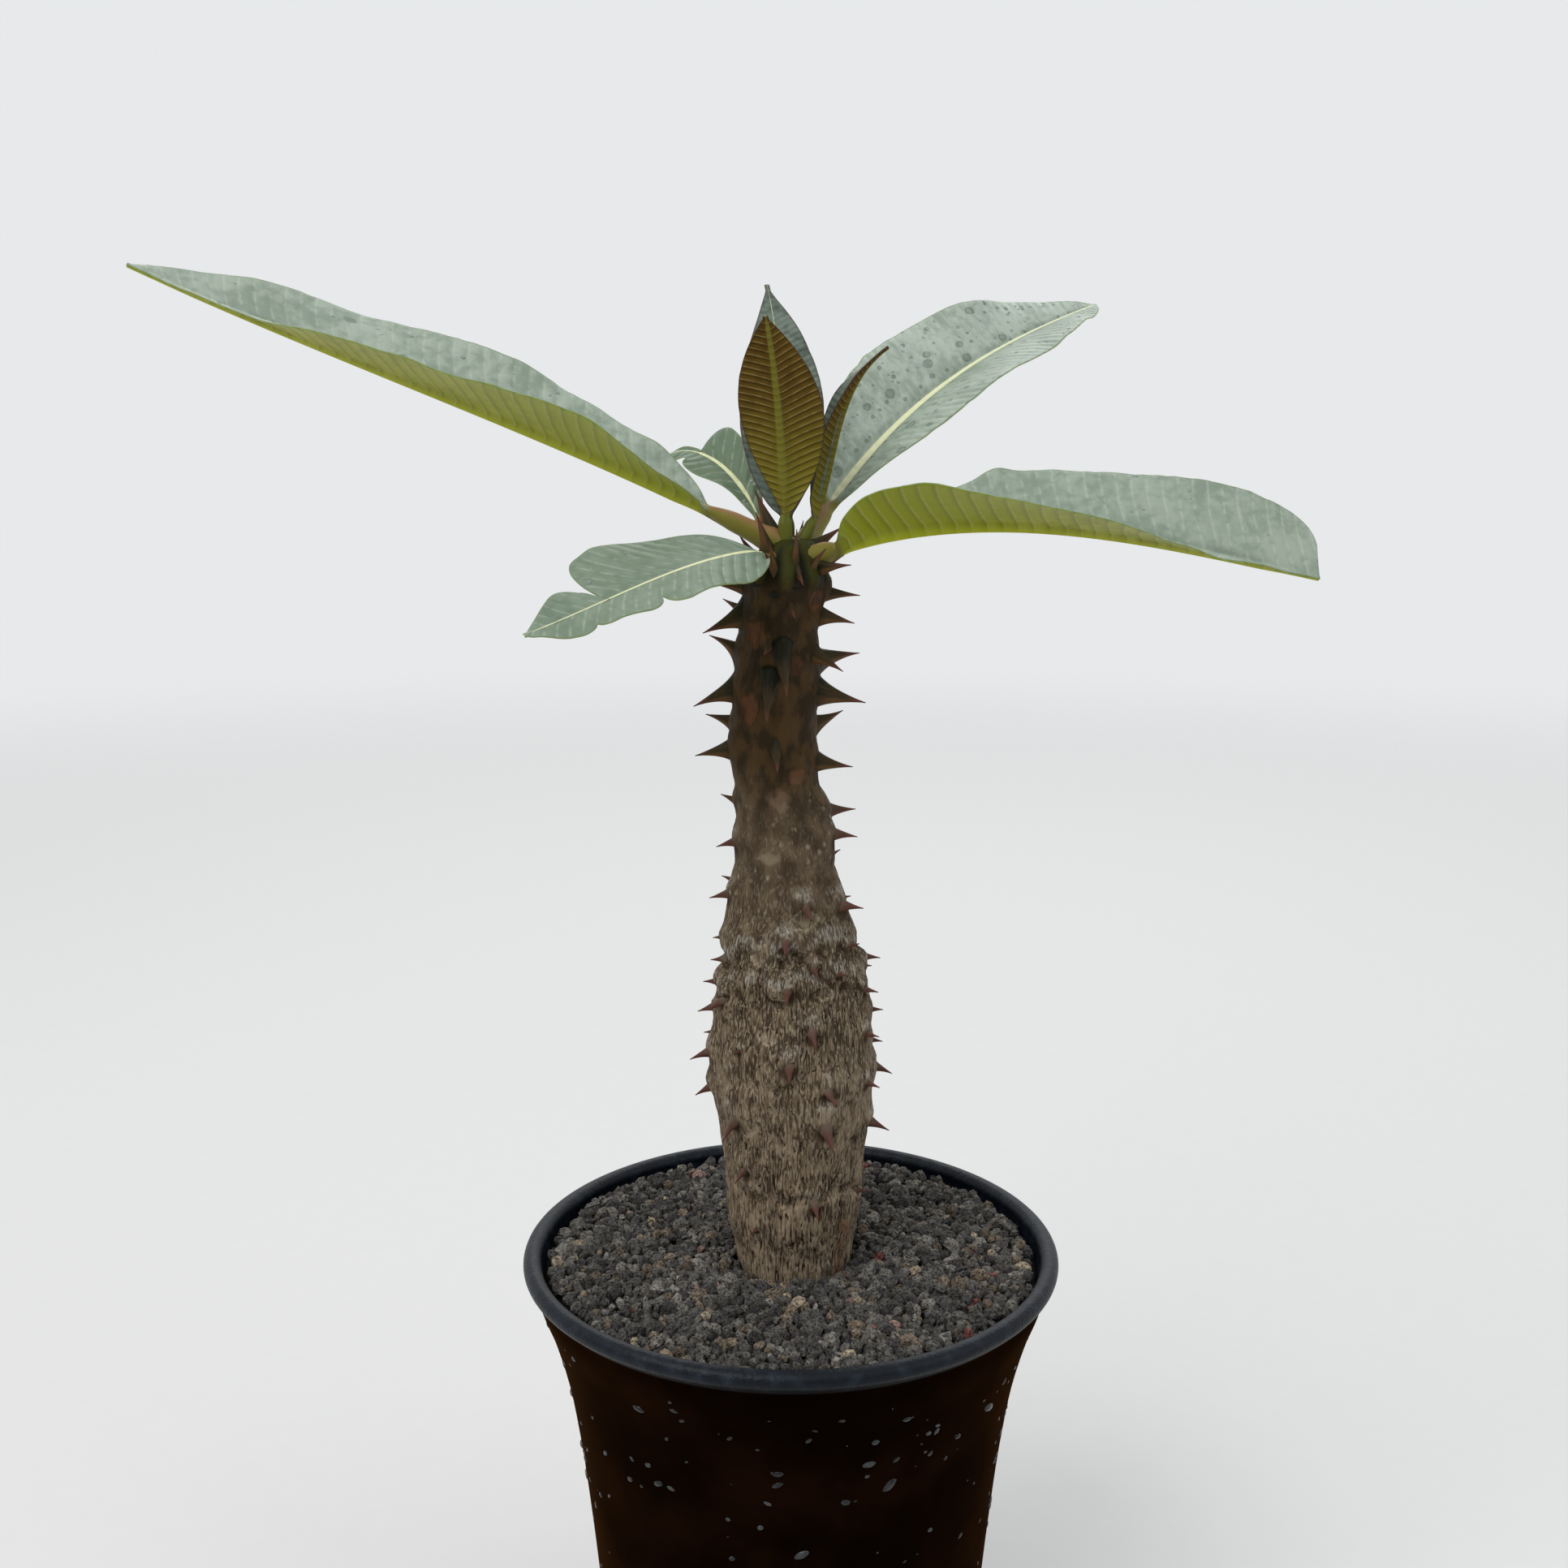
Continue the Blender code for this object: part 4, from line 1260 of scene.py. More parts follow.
@dataclass
class Spines:
    """The trunk's spines: oval horns that spread at the root and end in slender tips."""

    form: TrunkForm
    near_side: float = -90.0  # the bearing of the viewer's side, which the far side repeats
    near_spread: float = 55.0
    far_rise: float = 3.0
    near_top: float = 150.0
    around: int = 18
    stations: int = 18
    sink: float = 1.6 * MM
    crown_sink: float = 1.4 * MM  # more, in the crown
    crown_range: tuple = (143.0, 6.0)  # height where that starts, and over what it grows
    tall: float = 0.46  # half height at the root over the length
    wide: float = 0.27  # half width likewise
    broad: float = 0.35  # how much wider the lower spines are
    broad_range: tuple = (104.0, 20.0)  # height under which they are, and over what it grows
    root: float = 0.7 * MM  # more half width and half height at the root
    tip: float = 0.09 * MM
    hook: float = -0.1
    seed: int = 11

    @property
    def shares(self) -> Array:
        """Shares of a spine's length at its stations."""
        return np.linspace(0, 1, self.stations) ** 0.9

    def all(self) -> list[Spine]:
        """The spines of the near half, and those of the far half, which repeat the nearest.

        Returns:
            The spines.
        """
        spines = [Spine(*row) for row in SPINE_ROWS]
        for spine in list(spines):
            offset = (spine.bearing - self.near_side + 180) % 360 - 180
            if abs(offset) < self.near_spread and spine.height < self.near_top:
                spines.append(
                    Spine(spine.height + self.far_rise, spine.bearing + 180, spine.length, spine.rise)
                )
        return spines

    def axes(self, spine: Spine) -> tuple[Array, Array, Array, Array]:
        """Where a spine stands and how it is turned.

        Args:
            spine: The spine.

        Returns:
            Its root on the surface, and the directions along, across and up it.
        """
        turn, rise = math.radians(spine.bearing), math.radians(spine.rise)
        height = spine.height * MM
        outward = np.array([math.cos(turn), math.sin(turn), 0.0])
        across = np.array([-math.sin(turn), math.cos(turn), 0.0])
        along = outward * math.cos(rise) + UP * math.sin(rise)
        tall = UP * math.cos(rise) - outward * math.sin(rise)
        lean = float(self.form.radius_and_lean(height)[1][0])
        axis = np.array([lean, 0.0, self.form.soil_level + height])
        reach = float(self.form.reach(np.array(height), np.array(turn)))
        return axis + outward * reach, along, across, tall

    def horn(self, spine: Spine, rng: Random) -> Array:
        """Sections of one spine.

        Its axis runs from below the bark at t = 0 to the point at t = 1, bent by the hook
        times t^2. Half width and half height shrink as 0.45 (1 - t)^5 + 0.55 (1 - t)^1.3,
        with shallow flutes of 3 and 5 waves round, and a keel along the top. Spines low on the
        trunk are broader.

        Args:
            spine: The spine.
            rng: Source of its flutes.

        Returns:
            Points, by station and by place round.
        """
        base, along, across, tall = self.axes(spine)
        length = spine.length * MM
        start, over = self.crown_range
        sink = self.sink + self.crown_sink * ease((spine.height - start) / over)
        t = self.shares
        around = np.arange(self.around) * TAU / self.around
        sway = rng.normal(0.0, 0.025, 2)
        middle = (
            base
            + np.outer(length * t - sink * (1 - t), along)
            + np.outer(self.hook * length * t**2 + sway[0] * length * np.sin(3 * t), tall)
            + np.outer(sway[1] * length * np.sin(2.6 * t), across)
        )
        taper = 0.45 * (1 - t) ** 5 + 0.55 * (1 - t) ** 1.3
        phase = rng.uniform(0, TAU, 2)
        flute = 1 + 0.06 * np.sin(3 * around + phase[0]) + 0.045 * np.sin(5 * around + phase[1])
        flute = flute + 0.10 * np.maximum(np.sin(around), 0) ** 6
        start, over = self.broad_range
        broad = 1 + self.broad * ease((start - spine.height) / over)
        half_wide = ((self.wide * length + self.root) * broad * taper + self.tip)[:, None] * flute
        half_tall = ((self.tall * length + self.root) * taper + self.tip)[:, None] * flute
        return (
            middle[:, None]
            + (half_wide * np.cos(around))[..., None] * across
            + (half_tall * np.sin(around))[..., None] * tall
        )

    def build(self) -> None:
        """Joins all the horns in one piece."""
        rng = np.random.default_rng(self.seed)
        points = np.array([self.horn(spine, rng) for spine in self.all()])
        count, size = len(points), self.stations * self.around
        ring = np.arange(self.around)
        shape = [grid_faces(self.stations, self.around), ring[::-1][None], ring[None] + size - self.around]
        piece = make_piece("trunk_spines", points.reshape(-1, 3), repeated(shape, count, size))
        turn = ring * TAU / self.around
        along = np.repeat(self.shares, self.around)
        grain = np.tile(about_axis(0.35, turn, 0.0), (self.stations, 1))
        grain = grain + np.outer(along, (0.0, 0.0, 0.30))
        grain = grain[None] + rng.uniform(0, 9, (count, 1, 3))
        paint_values(
            piece,
            along=np.tile(along, count),
            under=np.tile(ease(0.5 - 0.9 * np.sin(turn)), count * self.stations),
            crown=self.form.crown_share(points[..., 2].ravel() - self.form.soil_level),
            streak=grain.reshape(-1, 3),
        )
        settle(piece, SpineFinish().material(), Slot.BARK)


@dataclass(frozen=True)
class Scar:
    """Where a leaf fell: height, bearing, half width and half height in millimetres."""

    height: float
    bearing: float
    half_wide: float
    half_tall: float


SCAR_ROWS = (  # height, bearing, half width and half height; the last eight on the far side
    (147, -36, 2.0, 2.4), (140, -122, 2.3, 2.8), (124.5, -129, 1.8, 3.0), (133.5, -60, 1.5, 2.6),
    (110, -56, 2.2, 1.6), (105.5, -88, 2.4, 2.4), (93, -108, 2.5, 1.3), (80.0, -74, 2.8, 2.3),
    (72.5, -112, 3.3, 2.4), (64.6, -62, 2.1, 1.6), (64.8, -99, 1.9, 1.5), (56, -108, 2.0, 1.6),
    (145, 70, 2.1, 2.6), (137, 120, 2.2, 2.6), (126, 60, 1.8, 2.8), (114, 105, 2.2, 2.0),
    (98, 80, 2.5, 2.0), (82, 115, 2.8, 2.2), (72, 65, 3.0, 2.4), (63, 100, 2.4, 1.8),
)


@dataclass
class Bark:
    """The trunk's skin, with folds, furrows, leaf scars, and mounds that carry the spines."""

    form: TrunkForm
    spines: Spines
    columns: int = 420
    rows: int = 218
    rows_below: int = 12
    stalks: tuple = (185, -9, 56, 139, 230, -90, 99, 22, -50)  # bearings of their feet
    lips: tuple = (  # wax and painted highlight, over folds: height, half height and share
        (73.5, 2.0, 0.7), (66.0, 1.7, 0.7), (46.0, 1.8, 0.35), (18.0, 1.6, 0.3),
    )
    dips: tuple = (  # sunk, and painted with shade, in folds: height, half height and share
        (70.0, 1.5, 1.0), (62.2, 1.3, 0.9), (16.0, 1.2, 0.6),
    )
    creases: tuple = (  # cut by folds: height, depth and half height
        (70.0, 2.2, 1.5), (62.2, 1.3, 1.3), (43.0, 0.7, 1.5), (88.0, 0.4, 1.4), (16.0, 1.1, 1.1),
    )
    fold_bearing: float = -55.0  # where the folds stand highest
    rust_bearing: float = -42.0
    spot_bearing: float = -56.0
    long_cells: tuple = (84, 21)  # boxes round and along, between the long fissures
    short_cells: tuple = (104, 46)
    seed: int = 3

    def build(self) -> None:
        """Raises the form's surface by the relief, point by point, and closes both ends."""
        below = np.linspace(self.form.stops[0][0] * MM, 0.0, self.rows_below + 1)[:-1]
        heights = np.concatenate([below, np.linspace(0.0, self.form.top, self.rows)])
        turn = np.arange(self.columns) * TAU / self.columns
        height, around = np.meshgrid(heights, turn, indexing="ij")
        reach = self.form.reach(height, around)
        marks = self.marks(height, around, reach)
        reach = reach + self.relief(height, around, marks)
        marks.pop("mound")  # the material has no use for it
        lean = self.form.radius_and_lean(heights)[1][:, None]
        level = self.form.soil_level
        points = np.stack([lean + reach * np.cos(around), reach * np.sin(around), level + height], -1)
        ends = [
            (lean[0, 0], 0.0, level + heights[0] - 0.2 * MM),
            (lean[-1, 0], 0.0, level + heights[-1] + 0.3 * MM),
        ]
        faces = tube_faces(len(heights), self.columns)
        piece = make_piece("trunk_bark", np.vstack([points.reshape(-1, 3), ends]), faces)
        paint_tube(piece, height.shape, marks)
        settle(piece, BarkFinish().material(), Slot.BARK, "trunk")

    def marks(self, height: Array, turn: Array, reach: Array) -> dict[str, Array]:
        """Where each kind of mark lies, from 0 to 1.

        A spine at distance (a, h) round and up, over its length L, gives wax with a painted
        highlight as a bell above its root, and a hollow with painted shade as a bell below it.
        A scar is a soft-edged oval with a ragged outline.

        Args:
            height: Height of each point.
            turn: Its direction, in radians.
            reach: Its distance from the axis.

        Returns:
            The fields crown, old, gap, lobe, scar, rust and mound, and those of wax with a
            painted highlight and of a hollow with painted shade.
        """
        rng = np.random.default_rng(self.seed + 1)
        u, v = turn / TAU, np.clip(height / self.form.top, 0, 1)
        ragged = [value_noise(u, v, across, along, rng) for across, along in ((60, 95), (64, 100))]
        patchy = ease(value_noise(u, v, 70, 110, rng) * 0.8 + 0.55)
        wax_and_highlight, scar, hollow, mound, lobe = (np.zeros_like(height) for _ in range(5))
        for spine in self.spines.all():
            length = spine.length * MM
            up = height - spine.height * MM
            out = self.arc(turn, spine.bearing) * reach
            # cap: pale above the spine's root, wax and a painted highlight on its mound
            cap = hump(up - 0.50 * length, 0.30 * length) * hump(out, 0.50 * length)
            # pit: a hollow below the spine's root, sunk and painted with shade
            pit = hump(up + 0.28 * length, 0.34 * length) * hump(out, 0.42 * length)
            swell = hump(up - 0.10 * length, 0.70 * length + 0.6 * MM)
            swell = swell * hump(out, 0.60 * length + 0.7 * MM)
            lower = ease((118 * MM - spine.height * MM) / (30 * MM))
            wax_and_highlight = np.maximum(wax_and_highlight, cap * (0.15 + 0.75 * lower) * (0.4 * lower + (1 - 0.4 * lower) * patchy))
            hollow = np.maximum(hollow, pit * (0.35 + 0.65 * lower))
            mound = np.maximum(mound, swell * min(1.0, length / (5 * MM)))
        for mark in (Scar(*row) for row in SCAR_ROWS):
            up = (height - mark.height * MM) / (mark.half_tall * MM) + 0.28 * ragged[0]
            out = self.arc(turn, mark.bearing) * reach / (mark.half_wide * MM) + 0.28 * ragged[1]
            scar = np.maximum(scar, ease((1.25 - np.hypot(up, out)) / 0.5))
        for bearing in self.stalks:
            lobe = np.maximum(lobe, hump(self.arc(turn, bearing) * reach, 1.7 * MM))
        wave = self.wave(turn)
        # wax and a painted highlight on the lip of each fold
        for fold, half, amount in self.lips:
            lip = hump(height - fold * MM - wave, half * MM)
            wax_and_highlight = np.maximum(wax_and_highlight, amount * ease(0.6 + ragged[0]) * lip)
        # each fold sinks a little and is painted with shade
        for fold, half, amount in self.dips:
            dip = hump(height - fold * MM - wave, half * MM)
            hollow = np.maximum(hollow, amount * ease(0.5 + ragged[1]) * dip)
        rust = hump(self.arc(turn, self.rust_bearing) * reach, 2.6 * MM)
        rust = rust * ease((height + 6 * MM) / (6 * MM)) * ease((17 * MM - height) / (8 * MM))
        spots = hump(self.arc(turn, self.spot_bearing) * reach, 2.4 * MM)
        spots = spots * hump(height - 1.5 * MM, 2.5 * MM)
        old = ease((96 * MM - height) / (30 * MM))
        foot = ease((54 * MM - height) / (26 * MM))
        bent = u + 0.005 * value_noise(u, v, 44, 50, rng) + 0.004 * value_noise(u, v, 12, 20, rng)
        long = self.from_borders(cell_gap(bent, v + 0.006 * ragged[0], *self.long_cells, rng), reach)
        short = self.from_borders(cell_gap(bent, v + 0.004 * ragged[1], *self.short_cells, rng), reach)
        gap = np.minimum(long + 0.5 * (1 - foot), short + 0.35 * (1 - old) + 0.22 * foot)
        return {
            "crown": self.form.crown_share(height),
            "old": old,
            "gap": np.minimum(gap, 3.0) + 0.16 * (1 - patchy),
            "lobe": lobe * ease((height - 145 * MM) / (7 * MM)),
            "wax_and_highlight": np.maximum(wax_and_highlight, 0.6 * spots),
            "scar": scar,
            "rust": rust,
            "hollow": hollow,
            "mound": mound,
        }

    def from_borders(self, gap: Array, reach: Array) -> Array:
        """Distance in millimetres from the upright borders between cells.

        It is the gap over its slope round the trunk, so borders that lie level drop out.

        Args:
            gap: The cells' gap at each point.
            reach: Distance of each point from the axis.

        Returns:
            The distance.
        """
        slope = np.abs(np.gradient(gap, axis=1)) / (reach * TAU / self.columns / MM)
        return gap / (slope + 0.12)

    def arc(self, turn: Array, bearing: float) -> Array:
        """Angle from a bearing to each direction, from -pi to pi."""
        return (turn - math.radians(bearing) + math.pi) % TAU - math.pi

    def wave(self, turn: Array) -> Array:
        """How far a fold lies above its height, once round the trunk."""
        ripples = 0.7 * np.sin(5 * turn) + 0.5 * np.sin(8 * turn + 1) + 0.35 * np.sin(13 * turn + 2)
        return (2.4 * np.cos(turn - math.radians(self.fold_bearing)) + ripples) * MM

    def relief(self, height: Array, turn: Array, marks: dict[str, Array]) -> Array:
        """How far the skin stands off the smooth form.

        Fissures are cut where the gap between cells that are drawn out upright is small,
        and are deepest at the foot. Folds sag as creases, mounds rise under spines over
        hollows, scars are dished with a rim, and the feet of stalks stand out at the top.

        Args:
            height: Height of each point.
            turn: Its direction, in radians.
            marks: What marks found.

        Returns:
            The relief in metres.
        """
        rng = np.random.default_rng(self.seed)
        u, v = turn / TAU, np.clip(height / self.form.top, 0, 1)
        lumps, grain = value_noise(u, v, 12, 16, rng), value_noise(u, v, 100, 120, rng)
        foot = ease((50 * MM - height) / (50 * MM))
        cut = ease((0.40 - marks["gap"]) / 0.36) * marks["old"] * (0.28 + 0.30 * foot)
        wave = self.wave(turn)
        crease = sum(
            depth * hump(height - fold * MM - wave, half * MM) * ease(0.75 + value_noise(u, v, 9, 30, rng))
            for fold, depth, half in self.creases
        )
        scar = marks["scar"]
        dish = 0.24 * ease(scar * 2.2) * (1 - 1.6 * ease((scar - 0.45) * 2.2))
        raised = 0.30 * lumps + 0.08 * grain + 1.7 * marks["mound"] + 0.8 * marks["lobe"]
        raised = raised + 0.3 * hump(height, 3 * MM)
        return (raised + dish - cut - crease - 0.8 * marks["hollow"]) * MM


# ------------------------ gravel


@dataclass
class Gravel:
    """Volcanic grit that fills the pot: a bed, and a layer of stones over another."""

    pot: Pot
    form: TrunkForm
    edge_drop: float = 1.0 * MM
    trunk_drop: float = 2.6 * MM
    bed_drop: float = 1.3 * MM  # of the bed's top below the level
    rows: tuple = (22, 14, 8)  # over the bed's top, up its wall and under it
    spacing: float = 2.45 * MM
    strays: float = 0.24  # how far places are moved at random, in spacings
    steps: int = 7  # by which stones are eased apart
    stone_grid: tuple = (3, 7)  # rings and sides
    planes: int = 9
    sharpness: float = 14.0
    seed: int = 21
    palette: tuple = (  # share of the stones, and colour
        (0.36, (0.038, 0.036, 0.034)),
        (0.33, (0.064, 0.060, 0.054)),
        (0.16, (0.098, 0.091, 0.081)),
        (0.08, (0.090, 0.071, 0.052)),
        (0.026, (0.140, 0.110, 0.078)),
        (0.010, (0.180, 0.148, 0.108)),
        (0.006, (0.200, 0.190, 0.175)),
        (0.007, (0.110, 0.036, 0.031)),
        (0.003, (0.140, 0.088, 0.076)),
        (0.0012, (0.50, 0.48, 0.45)),
    )

    def level(self, radius: Array) -> Array:
        """Level of the gravel.

        It is flat, lower towards the wall as the fourth power of the radius, and sinks in a
        bell at the trunk.
        """
        edge = self.edge_drop * (radius / self.pot.rim_radius) ** 4
        return self.form.soil_level - edge - self.trunk_drop * hump(radius - 12 * MM, 6 * MM)

    def inner(self, level: Array | float) -> Array:
        """Radius of the bed at a level, just clear of the pot's wall."""
        return self.pot.outer(level) - self.pot.wall - GAP

    def build(self) -> None:
        """Builds the bed and both layers of stones."""
        self.build_bed()
        rng = np.random.default_rng(self.seed)
        material = GravelFinish().material()
        self.build_stones("gravel_lower", rng, self.spacing * 1.02, (-1.35, -0.5), material)
        self.build_stones("gravel_upper", rng, self.spacing, (-0.25, 0.75), material)

    def build_bed(self) -> None:
        """Turns the bed's half section round the axis: under it, up the wall and over its top."""
        over, beside, below = self.rows
        top = np.linspace(self.inner(self.form.soil_level - 2.2 * MM)[0], 2 * MM, over)
        surface = self.level(top) - self.bed_drop
        up = np.linspace(self.pot.base + GAP, surface[0] - 2 * MM, beside)
        under = np.linspace(2 * MM, self.inner(up[0])[0], below)[:-1]
        radius = np.concatenate([[0.0], under, self.inner(up), top, [0.0]])
        level = np.concatenate([np.full(len(under) + 1, up[0]), up, surface, surface[-1:]])
        piece = make_piece("gravel_bed", *turned(np.stack([radius, level], 1), 120))
        settle(piece, BedFinish().material(), Slot.GRAVEL, "soil")

    def centres(self, rng: Random, spacing: float) -> tuple[Array, Array]:
        """Places and sizes of stones: a six-sided lattice moved at random, then eased apart.

        Each step moves a stone away from every neighbour nearer than the two half widths, by
        a share of what they overlap.

        Args:
            rng: Source of the random moves and sizes.
            spacing: Of the lattice.

        Returns:
            Places in plan, and half widths.
        """
        limit = float(self.inner(self.form.soil_level)[0]) - 0.6 * MM
        reach = 2 * int(limit / spacing) + 4
        i, j = np.meshgrid(np.arange(-reach, reach), np.arange(-reach, reach))
        plan = np.stack([(i + 0.5 * (j % 2)) * spacing, j * spacing * 0.866], -1).reshape(-1, 2)
        plan = plan[np.hypot(*plan.T) < limit + spacing]
        plan = (plan + rng.normal(0, self.strays * spacing, plan.shape)).astype(np.float32)
        size = (spacing * rng.lognormal(-0.68, 0.30, len(plan))).clip(0.26 * spacing, 0.95 * spacing)
        size = size.astype(np.float32)
        for _ in range(self.steps):
            apart = plan[:, None] - plan[None]
            distance = np.sqrt((apart**2).sum(-1)) + np.float32(1e-9)
            overlap = np.maximum(0.92 * (size[:, None] + size[None]) - distance, 0)
            np.fill_diagonal(overlap, 0)
            plan = plan + 0.30 * (apart * (overlap / distance)[..., None]).sum(1)
        radius, lean = (float(part[0]) for part in self.form.radius_and_lean(0.0))
        from_trunk = np.hypot(plan[:, 0] - lean, plan[:, 1])
        from_axis = np.hypot(*plan.T)
        keep = (from_trunk > radius + 0.35 * size) & (from_axis < limit - 0.55 * size)
        return plan[keep], size[keep]

    def stone(self, rng: Random, count: int) -> Array:
        """Unit stones: balls cut by random planes.

        Along a direction d a stone reaches (sum over its planes of max(d . n, 0)^p / c^p)^(-1/p)
        for planes with normals n at distances c, so a large p leaves sharper edges.

        Args:
            rng: Source of the planes.
            count: Number of stones.

        Returns:
            Points of each stone.
        """
        sides = self.stone_grid[1]
        rise = np.radians([-52.0, 0.0, 50.0])[:, None]
        turn = (np.arange(sides) + np.array([[0.0], [0.5], [0.0]])) * TAU / sides
        ball = about_axis(np.cos(rise), turn, np.sin(rise)).reshape(-1, 3)
        ball = np.vstack([ball, -UP, UP])
        normal = unit(rng.normal(0, 1, (count, self.planes, 3)))
        away = rng.uniform(0.60, 1.12, (count, 1, self.planes))
        facing = np.maximum(np.einsum("pk,nmk->npm", ball, normal), 0) / away
        reach = ((facing**self.sharpness).sum(2) + 0.2) ** (-1 / self.sharpness)
        reach = reach * rng.uniform(0.93, 1.07, reach.shape)
        return ball * np.clip(reach, 0.52, 1.2)[..., None]

    def build_stones(self, name: str, rng: Random, spacing: float, lift: tuple, material: Material) -> None:
        """Lays one layer of stones.

        Args:
            name: The piece's name.
            rng: Source of everything random.
            spacing: Of the stones.
            lift: Least and most height of a stone's middle over the gravel's level, in millimetres.
            material: The stones' finish.
        """
        plan, size = self.centres(rng, spacing)
        count = len(plan)
        shapes = self.stone(rng, count)
        frame = np.linalg.qr(rng.normal(0, 1, (count, 3, 3)))[0]
        frame *= np.sign(np.linalg.det(frame))[:, None, None]
        scale = size[:, None] * rng.uniform((1.02, 0.84, 0.64), (1.36, 1.10, 0.92), (count, 3))
        points = np.einsum("npk,nk,nkj->npj", shapes, scale, frame)
        height = self.level(np.hypot(*plan.T)) + rng.uniform(*lift, count) * MM
        points = points + np.column_stack([plan, height])[:, None]
        corners = points.shape[1]
        faces = repeated(tube_faces(*self.stone_grid), count, corners)
        piece = make_piece(name, points.reshape(-1, 3), faces)
        shares = np.array([share for share, _ in self.palette])
        kind = rng.choice(len(shares), count, p=shares / shares.sum())
        colour = np.array([colour for _, colour in self.palette])[kind]
        colour = colour * rng.uniform(0.7, 1.35, (count, 1))
        paint_values(piece, stone=np.repeat(colour, corners, 0))
        piece.data.set_sharp_from_angle(angle=math.radians(35))
        settle(piece, material, Slot.GRAVEL)


# ------------------------ leaves


@dataclass
class Leaf:
    """One leaf: where it leaves the trunk, how it bends, and the outline of its blade.

    Lengths are in millimetres and angles in degrees.
    """

    name: str
    bearing: float  # the way it leaves the trunk
    height: float  # of its foot above the gravel
    foot: float  # distance of its foot from the trunk's axis
    length: float  # along the midrib, stalk and blade
    stalk: float  # share of the length before the blade opens
    stalk_radius: float
    left: tuple  # half width of the blade, and how blunt it is at its base and its tip
    right: tuple
    pitch: tuple  # rise above the horizon at foot, middle and tip
    fold: tuple  # rise of each half above flat, at foot and tip
    roll: tuple  # turn about the midrib at foot, middle and tip
    sweep: float = 0.0  # turn of its bearing by the tip
    ripple: tuple = (0.8, 3.0)  # height of the edge's waves, and their number
    notches: tuple = ()  # (side, start, end, slope, depth) of bites out of the edge
    curls: tuple = ()  # (side, place, half length, rise) of small rolls of the edge
    opening: float = 0.75  # share of the stalk after which the blade opens
    astray: tuple = (0.0, 0.0, 1.0)  # how far its foot is to the left and below, and over what length
    slant: float = 0.62  # how far forward a side vein goes for each step out
    swept: float = 0.0  # how far forward the blade itself goes for each step out
    deep: tuple = (0.0, 0.0)  # how much of a deeper green its left and right have above
    pale_rib: float = 1.0  # width of the pale line along its upper face
    wet: float = 0.0  # how far it is spotted by drops that dried
    young: bool = False
    drops: int = 0  # bright drops on its upper face: painted glints

    @property
    def finish(self) -> LeafFinish:
        """The finish for its age."""
        return YOUNG_LEAF if self.young else ADULT_LEAF

    @property
    def slot(self) -> Slot:
        """The slot for its age."""
        return Slot.YOUNG_LEAF if self.young else Slot.LEAF


LEAVES = (
    Leaf("leaf_left_long", 185, 159.5, 5, 137, 0.1, 2.1, (19, 1.0, 1.65), (15.5, 0.75, 0.75),
         pitch=(27, 21.8, 24.5), fold=(50, 17), roll=(-30, -18, -22), sweep=5,
         opening=0.55, deep=(0.15, 0.15), pale_rib=0.15, wet=0.14, drops=16),
    Leaf("leaf_right_low", -9, 155.0, 3, 109.5, 0.07, 2.3, (17.8, 0.62, 0.24), (19.5, 0.60, 1.5),
         pitch=(23, -5.2, -12.4), fold=(38, 25), roll=(-10, 18, 31), sweep=12, ripple=(0.6, 2.5),
         curls=((1, 0.375, 0.034, 1.5),), opening=0.62, astray=(-2.6, 0.4, 4.5), slant=-0.4,
         deep=(0.28, 0.28), pale_rib=0.1, wet=0.06, drops=10),
    Leaf("leaf_right_back", 56, 159, 5.8, 137.5, 0.07, 2.0, (17, 0.7, 0.9), (15.5, 0.7, 0.7),
         pitch=(41.5, 23.5, 15.5), fold=(32, 19), roll=(21, 24, 22), sweep=-9,
         deep=(0.0, 0.25), pale_rib=0.85, wet=1.0, drops=30),
    Leaf("leaf_left_back", 139, 156.5, 5.5, 46, 0.14, 1.5, (6.4, 1.1, 0.5), (9, 0.9, 0.35),
         pitch=(73, 30, -18), fold=(13, 13), roll=(-28, -43, -45), sweep=-13,
         swept=0.3, notches=((-1, 0.50, 9, 0.15, 0.88), (1, 0.46, 9, 0.18, 0.55)),
         deep=(0.9, 0.9), pale_rib=0.9, wet=0.3, drops=6),
    Leaf("leaf_left_front", 226, 157.2, 5, 64, 0.05, 2.0, (12, 0.35, 0.7), (14, 0.8, 0.95),
         pitch=(2, -15.5, -15), fold=(1, 15), roll=(-30, -20, -36), sweep=-7,
         swept=0.4, notches=((-1, 0.555, 0.80, 0.12, 0.90), (-1, 0.60, 9, 0.10, 0.35),
                  (1, 0.40, 0.60, 0.10, 0.50), (1, 0.70, 0.82, 0.06, 0.30)),
         opening=0.4, astray=(0.0, 4.5, 1.6), deep=(0.6, 0.6), pale_rib=0.45, wet=0.05, drops=5),
    Leaf("leaf_young_front", 230, 160, 2.2, 45, 0.08, 1.5, (9.5, 1.0, 1.1), (8, 1.3, 0.95),
         pitch=(86, 83, 73), fold=(10, 8), roll=(42, 40, 48), ripple=(0.3, 3.0), slant=0.42,
         young=True),
    Leaf("leaf_young_back", 99, 158.5, 4.4, 59, 0.08, 1.5, (9.5, 0.75, 1.2), (8.5, 1.0, 1.25),
         pitch=(91, 71, 54), fold=(9, 8), roll=(-9, -10, -9), sweep=8, ripple=(0.3, 3.0), slant=0.42,
         pale_rib=0.4, young=True),
    Leaf("leaf_young_right", 22, 160, 2.9, 44, 0.08, 1.3, (3.7, 0.8, 1.2), (3.3, 0.6, 1.4),
         pitch=(59, 75, 33), fold=(70, 66), roll=(-1, -5, -9), sweep=-14, ripple=(0.2, 3.0),
         slant=0.42, young=True),
)


